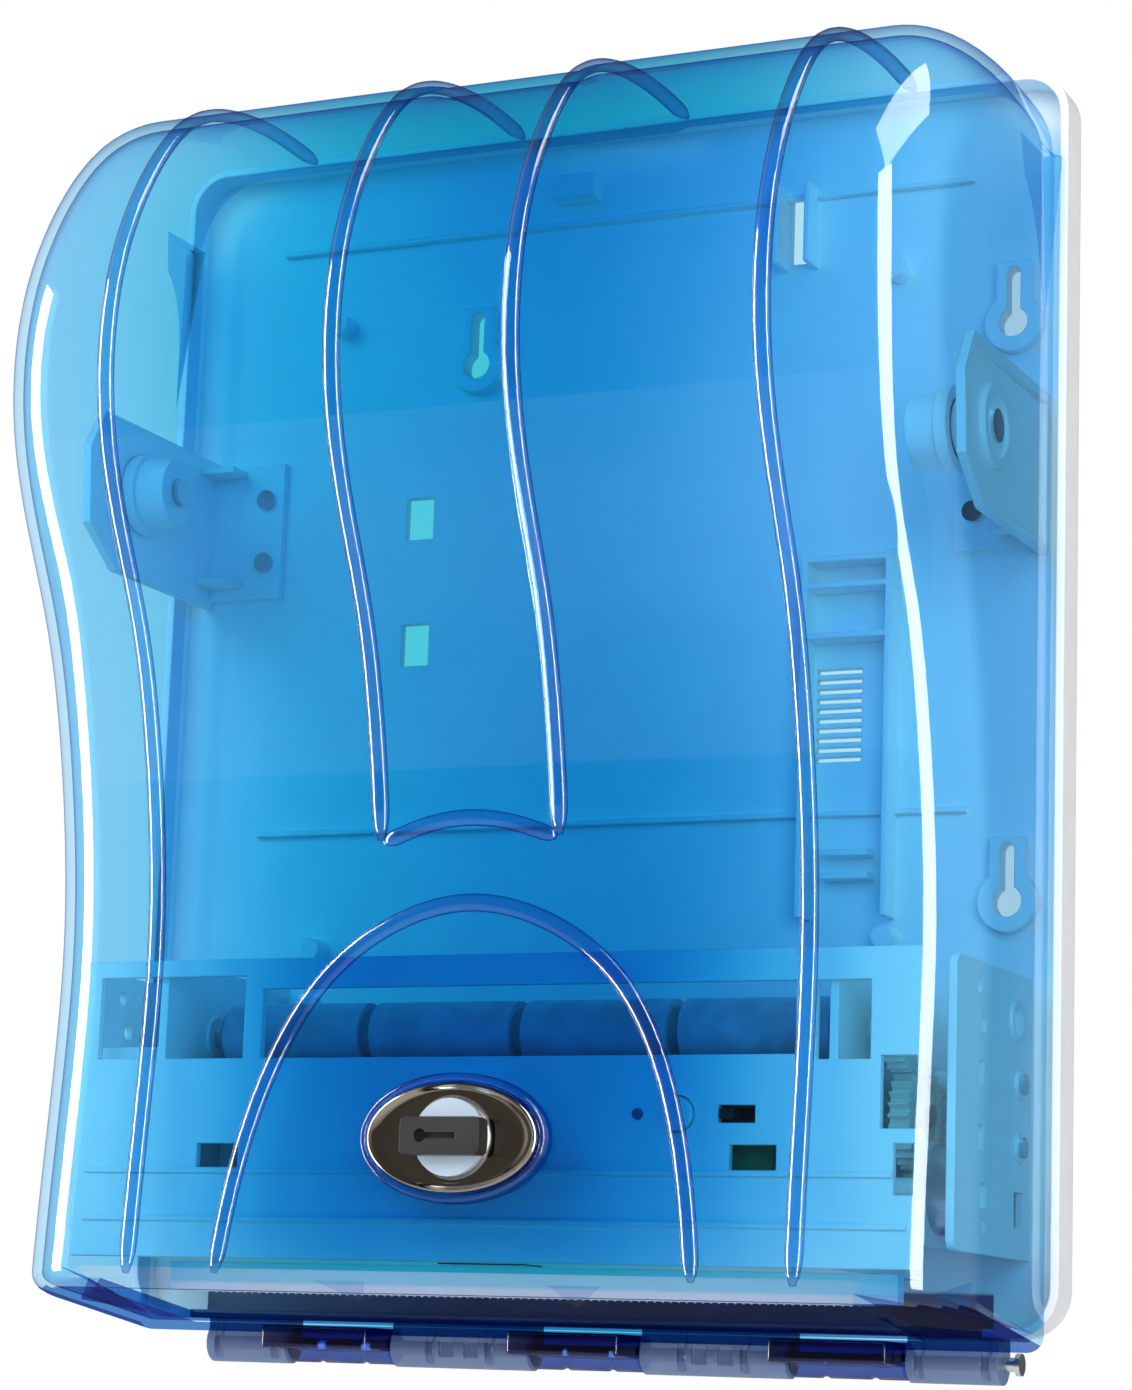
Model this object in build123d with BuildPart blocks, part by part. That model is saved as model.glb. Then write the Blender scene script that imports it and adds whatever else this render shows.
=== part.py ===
from build123d import *
import math
import os

os.makedirs("parts", exist_ok=True)

# Datums. X is right seen from the front, -Y is the front, +Z is up.
# The back face of the tray lies in Y = 0 and its middle is the origin.
tray_depth = 13.0
rim_y = -tray_depth
cover_half_w = 148.5
tray_half_w = cover_half_w + 4.0
tray_low = -4.0
tray_high = 374.0
foot_z = -(tray_high + tray_low) / 2

# Cover shell
cover_wall = 3.0
corner_r = 27.0
floor_r = 5.0
rim_gap = 0.5
rib_w = 5.0
rib_h = 1.8
outer_rib_x = cover_half_w - 44.5
centre_rib_x = 28.5
band_recess = 1.2
band_foot = 134.0

# Side outline of the cover: depth in front of the rim and height above the foot
wave = [
    (-82.8, 3.5), (-80.8, 30.0), (-76.8, 75.0), (-75.7, 105.0), (-78.4, 135.0),
    (-84.5, 165.0), (-94.3, 195.0), (-109.4, 225.0), (-120.3, 255.0), (-122.4, 276.0),
    (-119.2, 301.0), (-107.5, 329.0), (-97.0, 344.5), (-84.0, 357.5), (-70.0, 365.4),
    (-50.0, 370.8), (-25.0, 373.0), (-rim_gap, 372.0),
]
floor_rear = (-rim_gap, -8.0)

# Hinge along the bottom rear
hinge_x = 6.0
hinge_y = rim_y + 5.0
hinge_z = foot_z - 11.3
pin_r = 2.0
pin_fit = 0.05
clip_r = 6.0
barrel_r = 5.4
end_clip = 27.5
mid_clip = 46.0
clip_gap = 0.5
hinge_len = 2 * cover_half_w - 39.0
barrel_len = (hinge_len - 2 * end_clip - 2 * mid_clip - 6 * clip_gap) / 3

# Lock
lock_x = 0.5
lock_z = foot_z + 46.0
bezel_a = 29.5
bezel_b = 18.4
plate_a = 26.8
plate_b = 15.6
boss_face = rim_y - 83.6
lock_bore_r = 8.6
barrel_lock_r = 8.0

# Dispensing chassis
ch_half = cover_half_w - 10.5
plate_half = ch_half - 4.0
inner_wall_x = ch_half - 32.0
ch_wall = 2.5
board_gap = 5.5
ch_low = foot_z + 12.0
ch_high = foot_z + 100.0
ch_front = rim_y - 66.0
ch_rear = -2.5
roller_z = foot_z + 80.0
drive_y = rim_y - 34.0
drive_r = 10.0
pinch_r = 8.8
nip = 0.3
pinch_y = drive_y + drive_r + nip + pinch_r
shaft_r = 3.0
bush_r = 5.0
run_fit = 0.05

# Gear train
gear_m = 1.0
gear_x0 = 114.0
gear_x1 = 120.0
n_drive = 22
n_idler = 30
n_pinion = 12
backlash = 0.12
ang_idler = math.radians(-62.0)
ang_pinion = math.radians(-80.0)

# Roll holder
roll_y = rim_y - 38.0
roll_z = foot_z + 253.0
arm_out = cover_half_w - 4.2
arm_t = 2.8


def fy(v):
    return rim_y + v


def fz(v):
    return foot_z + v


def block(x0, x1, y0, y1, z0, z1, mode=Mode.ADD):
    with Locations(((x0 + x1) / 2, (y0 + y1) / 2, (z0 + z1) / 2)):
        Box(abs(x1 - x0), abs(y1 - y0), abs(z1 - z0), mode=mode)


def rod_x(x0, x1, y, z, r, mode=Mode.ADD):
    with Locations(((x0 + x1) / 2, y, z)):
        Cylinder(r, abs(x1 - x0), rotation=(0, 90, 0), mode=mode)


def rod_y(y0, y1, x, z, r, mode=Mode.ADD):
    with Locations((x, (y0 + y1) / 2, z)):
        Cylinder(r, abs(y1 - y0), rotation=(90, 0, 0), mode=mode)


def rod_z(z0, z1, x, y, r, mode=Mode.ADD):
    with Locations((x, y, (z0 + z1) / 2)):
        Cylinder(r, abs(z1 - z0), mode=mode)


def moved(points, d):
    """Outline shifted inward by d along its own normals."""
    out = []
    last = len(points) - 1
    for i, (y, z) in enumerate(points):
        y0, z0 = points[max(i - 1, 0)]
        y1, z1 = points[min(i + 1, last)]
        length = math.hypot(y1 - y0, z1 - z0)
        ty, tz = (y1 - y0) / length, (z1 - z0) / length
        out.append((y + d * tz, z - d * ty))
    return out


def world(points):
    return [(fy(y), fz(z)) for y, z in points]


def side_outline(d):
    """Closed side outline of the cover, shifted inward by d."""
    front = moved(wave, d)
    top_y = front[-1][0]
    front[-1] = (floor_rear[0], front[-1][1])
    slope = (wave[0][1] - floor_rear[1]) / (wave[0][0] - floor_rear[0])
    low = wave[0][1] + slope * (front[0][0] - wave[0][0]) + d
    front[0] = (front[0][0], low)
    return world(front), (fy(floor_rear[0]), fz(floor_rear[1] + d))


def gear_points(n, m, phase):
    """Straight-flanked gear outline with backlash, tooth centred on phase."""
    pitch_r = n * m / 2
    step = 2 * math.pi / n
    half = step / 4 - backlash / pitch_r
    rows = (
        (pitch_r - 1.2 * m, half + 0.55 * m / pitch_r),
        (pitch_r + 0.9 * m, half - 0.42 * m / pitch_r),
    )
    pts = []
    for k in range(n):
        a = phase + k * step
        (r0, h0), (r1, h1) = rows
        pts.append((r0 * math.cos(a - h0), r0 * math.sin(a - h0)))
        pts.append((r1 * math.cos(a - h1), r1 * math.sin(a - h1)))
        pts.append((r1 * math.cos(a + h1), r1 * math.sin(a + h1)))
        pts.append((r0 * math.cos(a + h0), r0 * math.sin(a + h0)))
    return pts


def coil(start, direction, length, turns, radius, wire):
    """One unbroken helical spring; its turns keep a gap over 0.4 mm."""
    pitch = length / turns
    with BuildPart() as spring:
        with BuildLine():
            path = Helix(pitch, length, radius, center=start, direction=direction)
        per_turn = 24
        spots = [path @ (k / (turns * per_turn)) for k in range(turns * per_turn + 1)]
        gap = min(
            (spots[j] - spots[i]).length
            for i in range(len(spots))
            for j in range(i + per_turn // 2, len(spots))
        ) - 2 * wire
        print("least gap of the coil to itself, mm:", round(gap, 2))
        assert gap > 0.4
        with BuildSketch(Plane(origin=path @ 0, z_dir=path % 0)):
            Circle(wire)
        sweep(path=path)
    return spring


def save(shape, name):
    shape.part.label = name
    export_step(shape.part, "parts/" + name + ".step")


# Back tray: dished plate with rim, keyholes, windows, ladder, grille and tabs
plate_t = 2.5
plate_face = -plate_t
tray_mid = (fz(tray_low) + fz(tray_high)) / 2
tray_h = tray_high - tray_low
side_key_x = cover_half_w - 15.0
keyholes = [(-46.5, 300.5), (side_key_x, 298.0), (side_key_x, 122.0)]
key_r = 4.6
key_slot = 4.6
key_rise = 15.0

with BuildPart() as back_tray:
    with BuildSketch(Plane.XZ.offset(0)) as tray_sk:
        with Locations((0, tray_mid)):
            RectangleRounded(2 * tray_half_w, tray_h, 14)
    extrude(amount=tray_depth)
    with BuildSketch(Plane.XZ.offset(plate_t)):
        with Locations((0, tray_mid)):
            RectangleRounded(2 * tray_half_w - 5, tray_h - 5, 11.5)
    extrude(amount=tray_depth, mode=Mode.SUBTRACT)
    for kx, kz in keyholes:
        rod_y(plate_face - 3.5, plate_face, kx, fz(kz), key_r + 4.5)
        block(kx - 5.5, kx + 5.5, plate_face - 3.5, plate_face, fz(kz), fz(kz + key_rise + 4))
    for wz in (251.5, 210.0):
        block(-71, -61.4, -4, 1, fz(wz - 6.8), fz(wz + 6.8), mode=Mode.SUBTRACT)
    # tall side window between its two ribs
    block(60.0, 66.6, -4, 1, fz(324), fz(346), mode=Mode.SUBTRACT)
    block(57.5, 59.0, -12, plate_face, fz(322), fz(348))
    block(67.6, 69.1, -12, plate_face, fz(322), fz(348))
    for rz in (227.2, 219.0, 203.4):
        block(70, 98, -11, plate_face, fz(rz - 0.9), fz(rz + 0.9))
    for rx in (70.0, 97.0):
        block(rx - 0.9, rx + 0.9, -11, plate_face, fz(118), fz(229))
    for k in range(10):
        gz = fz(166.8 + 3.0 * k)
        block(71.8, 86.2, -4, 1, gz - 0.75, gz + 0.75, mode=Mode.SUBTRACT)
    block(76, 91, -9, plate_face, fz(136.5), fz(138.5))
    block(76, 91, -9, plate_face, fz(129.5), fz(131.5))
    for sx in (-62.0, 62.0):
        for sz in (318.0, 112.0):
            rod_y(-9, plate_face, sx * 1.55, fz(sz), 3.6)
    for rz in (345.0, 150.0):
        block(-120, 120, -4.5, plate_face, fz(rz - 0.8), fz(rz + 0.8))
    block(-20, -6, -9, plate_face, fz(352), fz(360))
# Keyhole cut-outs go through the raised pads
with BuildPart() as key_cut:
    for kx, kz in keyholes:
        rod_y(-9, 1, kx, fz(kz), key_r)
        block(kx - key_slot / 2, kx + key_slot / 2, -9, 1, fz(kz), fz(kz + key_rise))
        rod_y(-9, 1, kx, fz(kz + key_rise), key_slot / 2)
back_tray.part = back_tray.part - key_cut.part
save(back_tray, "back_tray")


def cover_solid(d, radius, low_r):
    pts, rear = side_outline(d)
    with BuildPart() as shell:
        with BuildSketch(Plane.YZ):
            with BuildLine():
                Spline(*pts)
                Polyline(pts[-1], rear, pts[0])
            make_face()
        extrude(amount=cover_half_w - d, both=True)
        edges = [
            e for e in shell.edges()
            if abs(abs(e.center().X) - (cover_half_w - d)) < 0.01 and e.geom_type == GeomType.BSPLINE
        ]
        fillet(edges, radius)
        low = [
            e for e in shell.edges()
            if e.bounding_box().max.Z < fz(8.0) and e.bounding_box().max.Y < rim_y - 20
        ]
        low = [e for e in low if e.bounding_box().max.Z - e.bounding_box().min.Z < 3]
        if low_r:
            fillet(low, low_r)
    return shell.part


outer = cover_solid(0.0, corner_r, floor_r)
inner = cover_solid(cover_wall, corner_r - cover_wall, floor_r - cover_wall)


def wave_band(d_out, d_in, x0, x1, z_low=6.0, first=0):
    """Strip that follows the wave between two shifted outlines."""
    a = world(moved(wave, d_out))[first:]
    b = world(moved(wave, d_in))[first:]
    with BuildPart() as strip:
        with BuildSketch(Plane.YZ.offset(x0)):
            with BuildLine():
                Spline(*a)
                Line(a[-1], b[-1])
                Spline(*reversed(b))
                Line(b[0], a[0])
            make_face()
        extrude(amount=x1 - x0)
    return strip.part


ribs = []
for rx in (-outer_rib_x, outer_rib_x):
    ribs.append(wave_band(-rib_h, 1.5, rx - rib_w / 2, rx + rib_w / 2))
for rx in (-centre_rib_x, centre_rib_x):
    ribs.append(wave_band(-rib_h, 1.5, rx - rib_w / 2, rx + rib_w / 2, first=4))
recess = wave_band(-4.0, band_recess, -centre_rib_x + rib_w / 2, centre_rib_x - rib_w / 2, first=4)
face_slab = wave_band(-rib_h, 1.5, -outer_rib_x, outer_rib_x)

# Arch and cross bar on the front face
with BuildPart() as arch:
    with BuildSketch(Plane.XZ.offset(-fy(-60.0))):
        with BuildLine():
            Spline(
                (-77.0, fz(5)), (-74.5, fz(24)), (-66.0, fz(62)), (-46.0, fz(96)),
                (0.0, fz(116)), (46.0, fz(96)), (66.0, fz(62)), (74.5, fz(24)), (77.0, fz(5)),
            )
            Line((77.0, fz(5)), (72.0, fz(5)))
            Spline(
                (72.0, fz(5)), (69.6, fz(24)), (61.4, fz(60)), (42.8, fz(92)),
                (0.0, fz(111)), (-42.8, fz(92)), (-61.4, fz(60)), (-69.6, fz(24)), (-72.0, fz(5)),
            )
            Line((-72.0, fz(5)), (-77.0, fz(5)))
        make_face()
    extrude(amount=50)
    with BuildSketch(Plane.XZ.offset(-fy(-60.0))):
        with BuildLine():
            ThreePointArc((-27.5, fz(band_foot)), (0, fz(band_foot + 6.5)), (27.5, fz(band_foot)))
            Line((27.5, fz(band_foot)), (27.5, fz(band_foot - 4.5)))
            ThreePointArc((27.5, fz(band_foot - 4.5)), (0, fz(band_foot + 2)), (-27.5, fz(band_foot - 4.5)))
            Line((-27.5, fz(band_foot - 4.5)), (-27.5, fz(band_foot)))
        make_face()
    extrude(amount=50)
arch_part = arch.part & face_slab

barrel_x = []
clip_x = []
left = hinge_x - hinge_len / 2
for k, length in enumerate((end_clip, barrel_len, mid_clip, barrel_len, mid_clip, barrel_len, end_clip)):
    (clip_x if k % 2 == 0 else barrel_x).append((left, left + length))
    left += length + clip_gap

with BuildPart() as front_cover:
    add(outer)
    add(inner, mode=Mode.SUBTRACT)
    block(-150, 150, fy(-rim_gap) - 0.01, fy(20), fz(-20), fz(400), mode=Mode.SUBTRACT)
    for r in ribs:
        add(r)
    add(recess, mode=Mode.SUBTRACT)
    add(arch_part)
    # open underside behind the front lip
    block(-118, 118, fy(-74), fy(-17), fz(-14), fz(10), mode=Mode.SUBTRACT)
    # hinge arms and barrels
    for b0, b1 in barrel_x:
        block(b0, b1, fy(-16.5), hinge_y, hinge_z - 1.8, fz(-5.6))
        rod_x(b0, b1, hinge_y, hinge_z, barrel_r)
    for b0, b1 in barrel_x:
        rod_x(b0 - 1, b1 + 1, hinge_y, hinge_z, pin_r + pin_fit, mode=Mode.SUBTRACT)
    # lock boss with pocket
    with BuildSketch(Plane.XZ.offset(-fy(-75.0))):
        with Locations((lock_x, lock_z)):
            Ellipse(bezel_a, bezel_b)
    extrude(amount=fy(-75.0) - boss_face)
    with BuildSketch(Plane.XZ.offset(-(boss_face + 2.2))):
        with Locations((lock_x, lock_z)):
            Ellipse(plate_a + 0.3, plate_b + 0.3)
    extrude(amount=5, mode=Mode.SUBTRACT)
    rod_y(fy(-90), fy(-60), lock_x, lock_z, lock_bore_r, mode=Mode.SUBTRACT)
    # locating ribs inside the side walls
    for sx in (-1, 1):
        for rz in (60.0, 330.0):
            rib_end = cover_half_w - cover_wall - 1.2
            block(sx * (cover_half_w - 1), sx * rib_end, fy(-20), fy(-4), fz(rz), fz(rz + 2))
save(front_cover, "front_cover")


# Hinge pin and the four clips that hang it under the tray
pin_x0 = hinge_x - hinge_len / 2 + 0.5
pin_x1 = hinge_x + hinge_len / 2 + 4.0
with BuildPart() as hinge_pin:
    rod_x(pin_x0, pin_x1, hinge_y, hinge_z, pin_r)
    rod_x(pin_x1, pin_x1 + 1.5, hinge_y, hinge_z, pin_r + 1.2)
save(hinge_pin, "hinge_pin")

clip_names = ("hinge_clip_left", "hinge_clip_mid_left", "hinge_clip_mid_right", "hinge_clip_right")
clip_top = fz(tray_low)
for name, (c0, c1) in zip(clip_names, clip_x):
    with BuildPart() as clip:
        rod_x(c0, c1, hinge_y, hinge_z, clip_r)
        block(c0, c1, hinge_y - 4.5, hinge_y + clip_r, hinge_z, clip_top)
        mid = (c0 + c1) / 2
        for off in (-10.0, 10.0):
            block(mid + off - 1.2, mid + off + 1.2,
                  hinge_y - clip_r - 1, hinge_y - 3.5, hinge_z - 8, hinge_z + 8,
                  mode=Mode.SUBTRACT)
        if c1 - c0 > end_clip + 1:
            for off in (-4.2, 4.2):
                block(mid + off - 2.4, mid + off + 2.4,
                      hinge_y - clip_r - 1, hinge_y - 4.4, hinge_z - 2.6, hinge_z + 2.6,
                      mode=Mode.SUBTRACT)
        rod_x(c0 - 1, c1 + 1, hinge_y, hinge_z, pin_r, mode=Mode.SUBTRACT)
    save(clip, name)

# Lock: oval plate, round base, black knob with key slot, nut, cam and keeper
with BuildPart() as lock_escutcheon:
    with BuildSketch(Plane.XZ.offset(-(boss_face + 2.2))):
        with Locations((lock_x, lock_z)):
            Ellipse(plate_a, plate_b)
    extrude(amount=2.6)
    rim = lock_escutcheon.edges().filter_by(GeomType.ELLIPSE).sort_by(Axis.Y)[0]
    fillet(rim, 1.2)
    rod_y(boss_face - 5, boss_face + 5, lock_x, lock_z, 11.2, mode=Mode.SUBTRACT)
save(lock_escutcheon, "lock_escutcheon")

base_front = boss_face - 1.4
nut_rear = fy(-72.0)
with BuildPart() as lock_base:
    rod_y(base_front, boss_face + 2.2, lock_x, lock_z, 11.0)
    rod_y(base_front, nut_rear, lock_x, lock_z, barrel_lock_r)
    rod_y(base_front - 1, nut_rear + 1, lock_x, lock_z, 5.0 + run_fit, mode=Mode.SUBTRACT)
save(lock_base, "lock_base")

with BuildPart() as lock_nut:
    with BuildSketch(Plane.XZ.offset(-fy(-75.0))):
        with Locations((lock_x, lock_z)):
            RegularPolygon(11.5, 6)
            Circle(barrel_lock_r, mode=Mode.SUBTRACT)
    extrude(amount=-2.6)
save(lock_nut, "lock_nut")

cam_y0 = fy(-71.4)
cam_y1 = fy(-69.6)
knob_y = base_front - 0.3
with BuildPart() as lock_knob:
    block(lock_x - 12.4, lock_x + 12.4, knob_y - 5.6, knob_y, lock_z - 5.3, lock_z + 5.3)
    fillet(lock_knob.edges().filter_by(Axis.Y), 1.6)
    rod_y(knob_y, cam_y0, lock_x, lock_z, 5.0)
    block(lock_x - 6.0, lock_x + 5.0, knob_y - 6, knob_y - 3.4, lock_z - 0.8, lock_z + 0.8,
          mode=Mode.SUBTRACT)
    rod_y(knob_y - 6, knob_y - 3.4, lock_x - 6.0, lock_z, 1.9, mode=Mode.SUBTRACT)
save(lock_knob, "lock_knob")

with BuildPart() as lock_cam:
    rod_y(cam_y0, cam_y1, lock_x, lock_z, 6.0)
    block(lock_x, lock_x + 15, cam_y0, cam_y1, lock_z - 4, lock_z + 4)
    rod_y(cam_y0 - 1, cam_y1 + 1, lock_x, lock_z, 1.5, mode=Mode.SUBTRACT)
save(lock_cam, "lock_cam")

with BuildPart() as cam_screw:
    rod_y(cam_y0, cam_y1, lock_x, lock_z, 1.5)
    rod_y(cam_y1, cam_y1 + 1.4, lock_x, lock_z, 3.2)
    block(lock_x - 2.2, lock_x + 2.2, cam_y1 + 0.8, cam_y1 + 2, lock_z - 0.4, lock_z + 0.4,
          mode=Mode.SUBTRACT)
save(cam_screw, "cam_screw")

with BuildPart() as lock_keeper:
    block(lock_x - 13, lock_x + 9, ch_front - 1.2, ch_front, lock_z + 10.8, lock_z + 20)
    block(lock_x - 13, lock_x - 10, fy(-74.0), ch_front, lock_z + 10.8, lock_z + 16)
    block(lock_x - 13, lock_x + 8, fy(-74.0), fy(-72.4), lock_z + 10.8, lock_z + 16)
save(lock_keeper, "lock_keeper")

# Dispensing chassis
board_y = ch_front + ch_wall + board_gap
board_at = [(px, pz) for px in (-62.0, 84.5) for pz in (31.5, 61.0)]
pillars = ((0.0, 67.7), (0.0, 49.7))
feet = ((-1, 21.0), (1, 21.0), (-1, 92.0), (1, 92.0))
pw = inner_wall_x
with BuildPart() as chassis:
    block(-plate_half, plate_half, ch_front, ch_front + ch_wall, ch_low, ch_high)
    for sx in (-1, 1):
        block(sx * pw, sx * (pw + ch_wall), ch_front + 1, ch_rear, ch_low, ch_high)
        for py, pz in pillars:
            rod_x(sx * (pw + 1), sx * ch_half, fy(py), fz(pz), 4.0)
    for sx, z in feet:
        block(sx * (pw - 11), sx * (pw + 1), ch_rear - 2.5, ch_rear, fz(z - 5), fz(z + 5))
    # floor in front of and behind the paper path
    block(-pw - 1, pw + 1, ch_front + 1, fy(-30.4), ch_low, ch_low + 2)
    block(-pw - 1, pw + 1, fy(-17.5), ch_rear, ch_low, ch_low + 2)
    # rear paper guide, ledge and top bar
    block(-pw - 1, pw + 1, fy(-17.5), fy(-16.0), ch_low, fz(66))
    block(-pw - 1, pw + 1, ch_front + 1, fy(-56), fz(67.5), fz(69))
    block(-pw - 1, pw + 1, ch_front + 1, fy(-60), ch_high - 2, ch_high)
    for rz in (37.5, 23.4):
        block(-plate_half + 4, plate_half - 4, ch_front - 0.8, ch_front + 0.5, fz(rz - 0.8), fz(rz + 0.8))
    for px, pz in board_at:
        rod_y(ch_front + 1, board_y, px, fz(pz), 2.6)
    # windows of the front plate
    block(-72, 97, ch_front - 2, ch_front + ch_wall + 0.01, fz(70.5), fz(91), mode=Mode.SUBTRACT)
    block(-128, -78, ch_front - 2, ch_front + ch_wall + 0.01, fz(70.5), fz(95), mode=Mode.SUBTRACT)
    block(103, 119, ch_front - 2, ch_front + ch_wall + 0.01, fz(69), fz(91), mode=Mode.SUBTRACT)
    for sx in (-1, 1):
        block(sx * 78, sx * 92, ch_front - 2, ch_front + ch_wall + 0.01, fz(37.9 + 0.6), fz(45.5),
              mode=Mode.SUBTRACT)
    # stepped edge of the gear side
    block(122, 136, ch_front - 2, ch_front + ch_wall + 0.01, fz(50), fz(70), mode=Mode.SUBTRACT)
    block(126, 136, ch_front - 2, ch_front + ch_wall + 0.01, fz(32), fz(46), mode=Mode.SUBTRACT)
    # roller bearings, idler and motor passages
    for sx in (-1, 1):
        for ry in (drive_y, pinch_y):
            rod_x(sx * (pw - 1), sx * (pw + 4), ry, roller_z, bush_r, mode=Mode.SUBTRACT)
        for py, pz in pillars:
            rod_x(sx * (pw + 12), sx * (ch_half + 1), fy(py), fz(pz), 1.5, mode=Mode.SUBTRACT)
    for sx, z in feet:
        rod_y(ch_rear - 4, ch_rear + 1, sx * (pw - 6), fz(z), 1.5, mode=Mode.SUBTRACT)
    # sensor window, feed button, switch and lamp openings
    block(-14, 14, fy(-60), fy(-48), ch_low - 1, ch_low + 3, mode=Mode.SUBTRACT)
    rod_y(ch_front - 2, ch_front + 4, 62, fz(54), 5.3, mode=Mode.SUBTRACT)
    block(74.5, 85.5, ch_front - 2, ch_front + 4, fz(51.5), fz(56.5), mode=Mode.SUBTRACT)
    rod_y(ch_front - 2, ch_front + 4, 50, fz(54), 1.6, mode=Mode.SUBTRACT)
save(chassis, "chassis")

# Side plates with bosses and square cut-outs
plate_x0 = ch_half
plate_x1 = ch_half + 2.5
for name, sx in (("side_plate_right", 1), ("side_plate_left", -1)):
    with BuildPart() as side:
        block(sx * plate_x0, sx * plate_x1, fy(-57), ch_rear, fz(18), fz(99))
        fillet(side.edges().filter_by(Axis.X).sort_by(Axis.Y)[:2], 4)
        rod_x(sx * plate_x0, sx * (plate_x1 + 1.0), fy(-4), fz(85.4), 6.0)
        rod_x(sx * (plate_x1 - 1.2), sx * (plate_x1 + 2), fy(-4), fz(85.4), 4.4, mode=Mode.SUBTRACT)
        for py, pz in pillars:
            rod_x(sx * plate_x0, sx * (plate_x1 + 0.6), fy(py), fz(pz), 4.6)
        for hy, hz, hw, hh in ((-35, 68, 5, 7), (-35, 50, 5, 7), (-32, 34, 5.5, 7), (0, 32, 9, 10)):
            block(sx * (plate_x0 - 1), sx * (plate_x1 + 1), fy(hy - hw / 2), fy(hy + hw / 2), fz(hz - hh / 2),
                  fz(hz + hh / 2), mode=Mode.SUBTRACT)
        for hy, hz, hr in ((-37, 92, 2.2), (-33, 82, 2.6), (-32, 25.5, 2.4)):
            rod_x(sx * (plate_x0 - 1), sx * (plate_x1 + 1), fy(hy), fz(hz), hr, mode=Mode.SUBTRACT)
        for py, pz in pillars:
            rod_x(sx * (plate_x0 - 1), sx * (plate_x1 + 2), fy(py), fz(pz), 1.5, mode=Mode.SUBTRACT)
    save(side, name)

with BuildPart() as side_screws:
    for sx in (-1, 1):
        for py, pz in pillars:
            rod_x(sx * (plate_x0 - 8), sx * (plate_x1 + 0.6), fy(py), fz(pz), 1.5)
            rod_x(sx * (plate_x1 + 0.6), sx * (plate_x1 + 1.9), fy(py), fz(pz), 3.0)
save(side_screws, "side_screws")

with BuildPart() as tray_screws:
    for sx, z in feet:
        rod_y(ch_rear - 2.5, ch_rear + 2.0, sx * (pw - 6), fz(z), 1.5)
        rod_y(ch_rear - 4.3, ch_rear - 2.5, sx * (pw - 6), fz(z), 3.2)
save(tray_screws, "tray_screws")

with BuildPart() as tray_holes:
    for sx, z in feet:
        rod_y(ch_rear - 1, ch_rear + 2.0, sx * (pw - 6), fz(z), 1.5)
back_tray.part = back_tray.part - tray_holes.part
save(back_tray, "back_tray")

# Rollers
roll_half = pw - 6.0
sleeve_gap = 4.0
sleeve = roll_half / 2 - sleeve_gap
sleeve_x = [roll_half * k / 4 for k in (-3, -1, 1, 3)]
with BuildPart() as drive_shaft:
    rod_x(-pw - 5, gear_x1 + 1.0, drive_y, roller_z, shaft_r)
save(drive_shaft, "drive_shaft")

with BuildPart() as drive_core:
    rod_x(-roll_half, roll_half, drive_y, roller_z, drive_r - 2.0)
    rod_x(-roll_half - 1, roll_half + 1, drive_y, roller_z, shaft_r, mode=Mode.SUBTRACT)
save(drive_core, "drive_core")

with BuildPart() as drive_sleeves:
    for cx in sleeve_x:
        rod_x(cx - sleeve / 2, cx + sleeve / 2, drive_y, roller_z, drive_r)
        rod_x(cx - sleeve, cx + sleeve, drive_y, roller_z, drive_r - 2.0, mode=Mode.SUBTRACT)
save(drive_sleeves, "drive_sleeves")

with BuildPart() as pinch_shaft:
    rod_x(-pw - 5, pw + 5, pinch_y, roller_z, shaft_r)
save(pinch_shaft, "pinch_shaft")

with BuildPart() as pinch_rollers:
    for cx in sleeve_x:
        rod_x(cx - sleeve / 2, cx + sleeve / 2, pinch_y, roller_z, pinch_r)
    rod_x(-pw, pw, pinch_y, roller_z, shaft_r, mode=Mode.SUBTRACT)
save(pinch_rollers, "pinch_rollers")

with BuildPart() as roller_bushes:
    for sx in (-1, 1):
        for ry in (drive_y, pinch_y):
            rod_x(sx * (pw - 1.2), sx * (pw + ch_wall + 0.8), ry, roller_z, bush_r)
            rod_x(sx * (pw - 1.2), sx * pw, ry, roller_z, bush_r + 1.4)
            rod_x(sx * (pw - 3), sx * (pw + 6), ry, roller_z, shaft_r + run_fit, mode=Mode.SUBTRACT)
save(roller_bushes, "roller_bushes")

# Gear train: roller gear, idler and motor pinion
r_drive = n_drive * gear_m / 2
r_idler = n_idler * gear_m / 2
r_pinion = n_pinion * gear_m / 2
idler_y = drive_y + (r_drive + r_idler) * math.cos(ang_idler)
idler_z = roller_z + (r_drive + r_idler) * math.sin(ang_idler)
pinion_y = idler_y + (r_idler + r_pinion) * math.cos(ang_pinion)
pinion_z = idler_z + (r_idler + r_pinion) * math.sin(ang_pinion)
ph_drive = ang_idler
ph_idler = ang_idler + math.pi + math.pi / n_idler
step_idler = 2 * math.pi / n_idler
lead = (ph_idler - ang_pinion) % step_idler
ph_pinion = ang_pinion + math.pi - lead * r_idler / r_pinion + math.pi / n_pinion
idler_pin_r = 2.0
motor_shaft_r = 1.5

with BuildPart() as drive_gear:
    with BuildSketch(Plane.YZ.offset(gear_x0)):
        with Locations((drive_y, roller_z)):
            Polygon(*gear_points(n_drive, gear_m, ph_drive), align=None)
    extrude(amount=gear_x1 - gear_x0)
    rod_x(gear_x0 - 2.5, gear_x0, drive_y, roller_z, 6.0)
    rod_x(gear_x0 - 4, gear_x1 + 2, drive_y, roller_z, shaft_r, mode=Mode.SUBTRACT)
save(drive_gear, "drive_gear")

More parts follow.
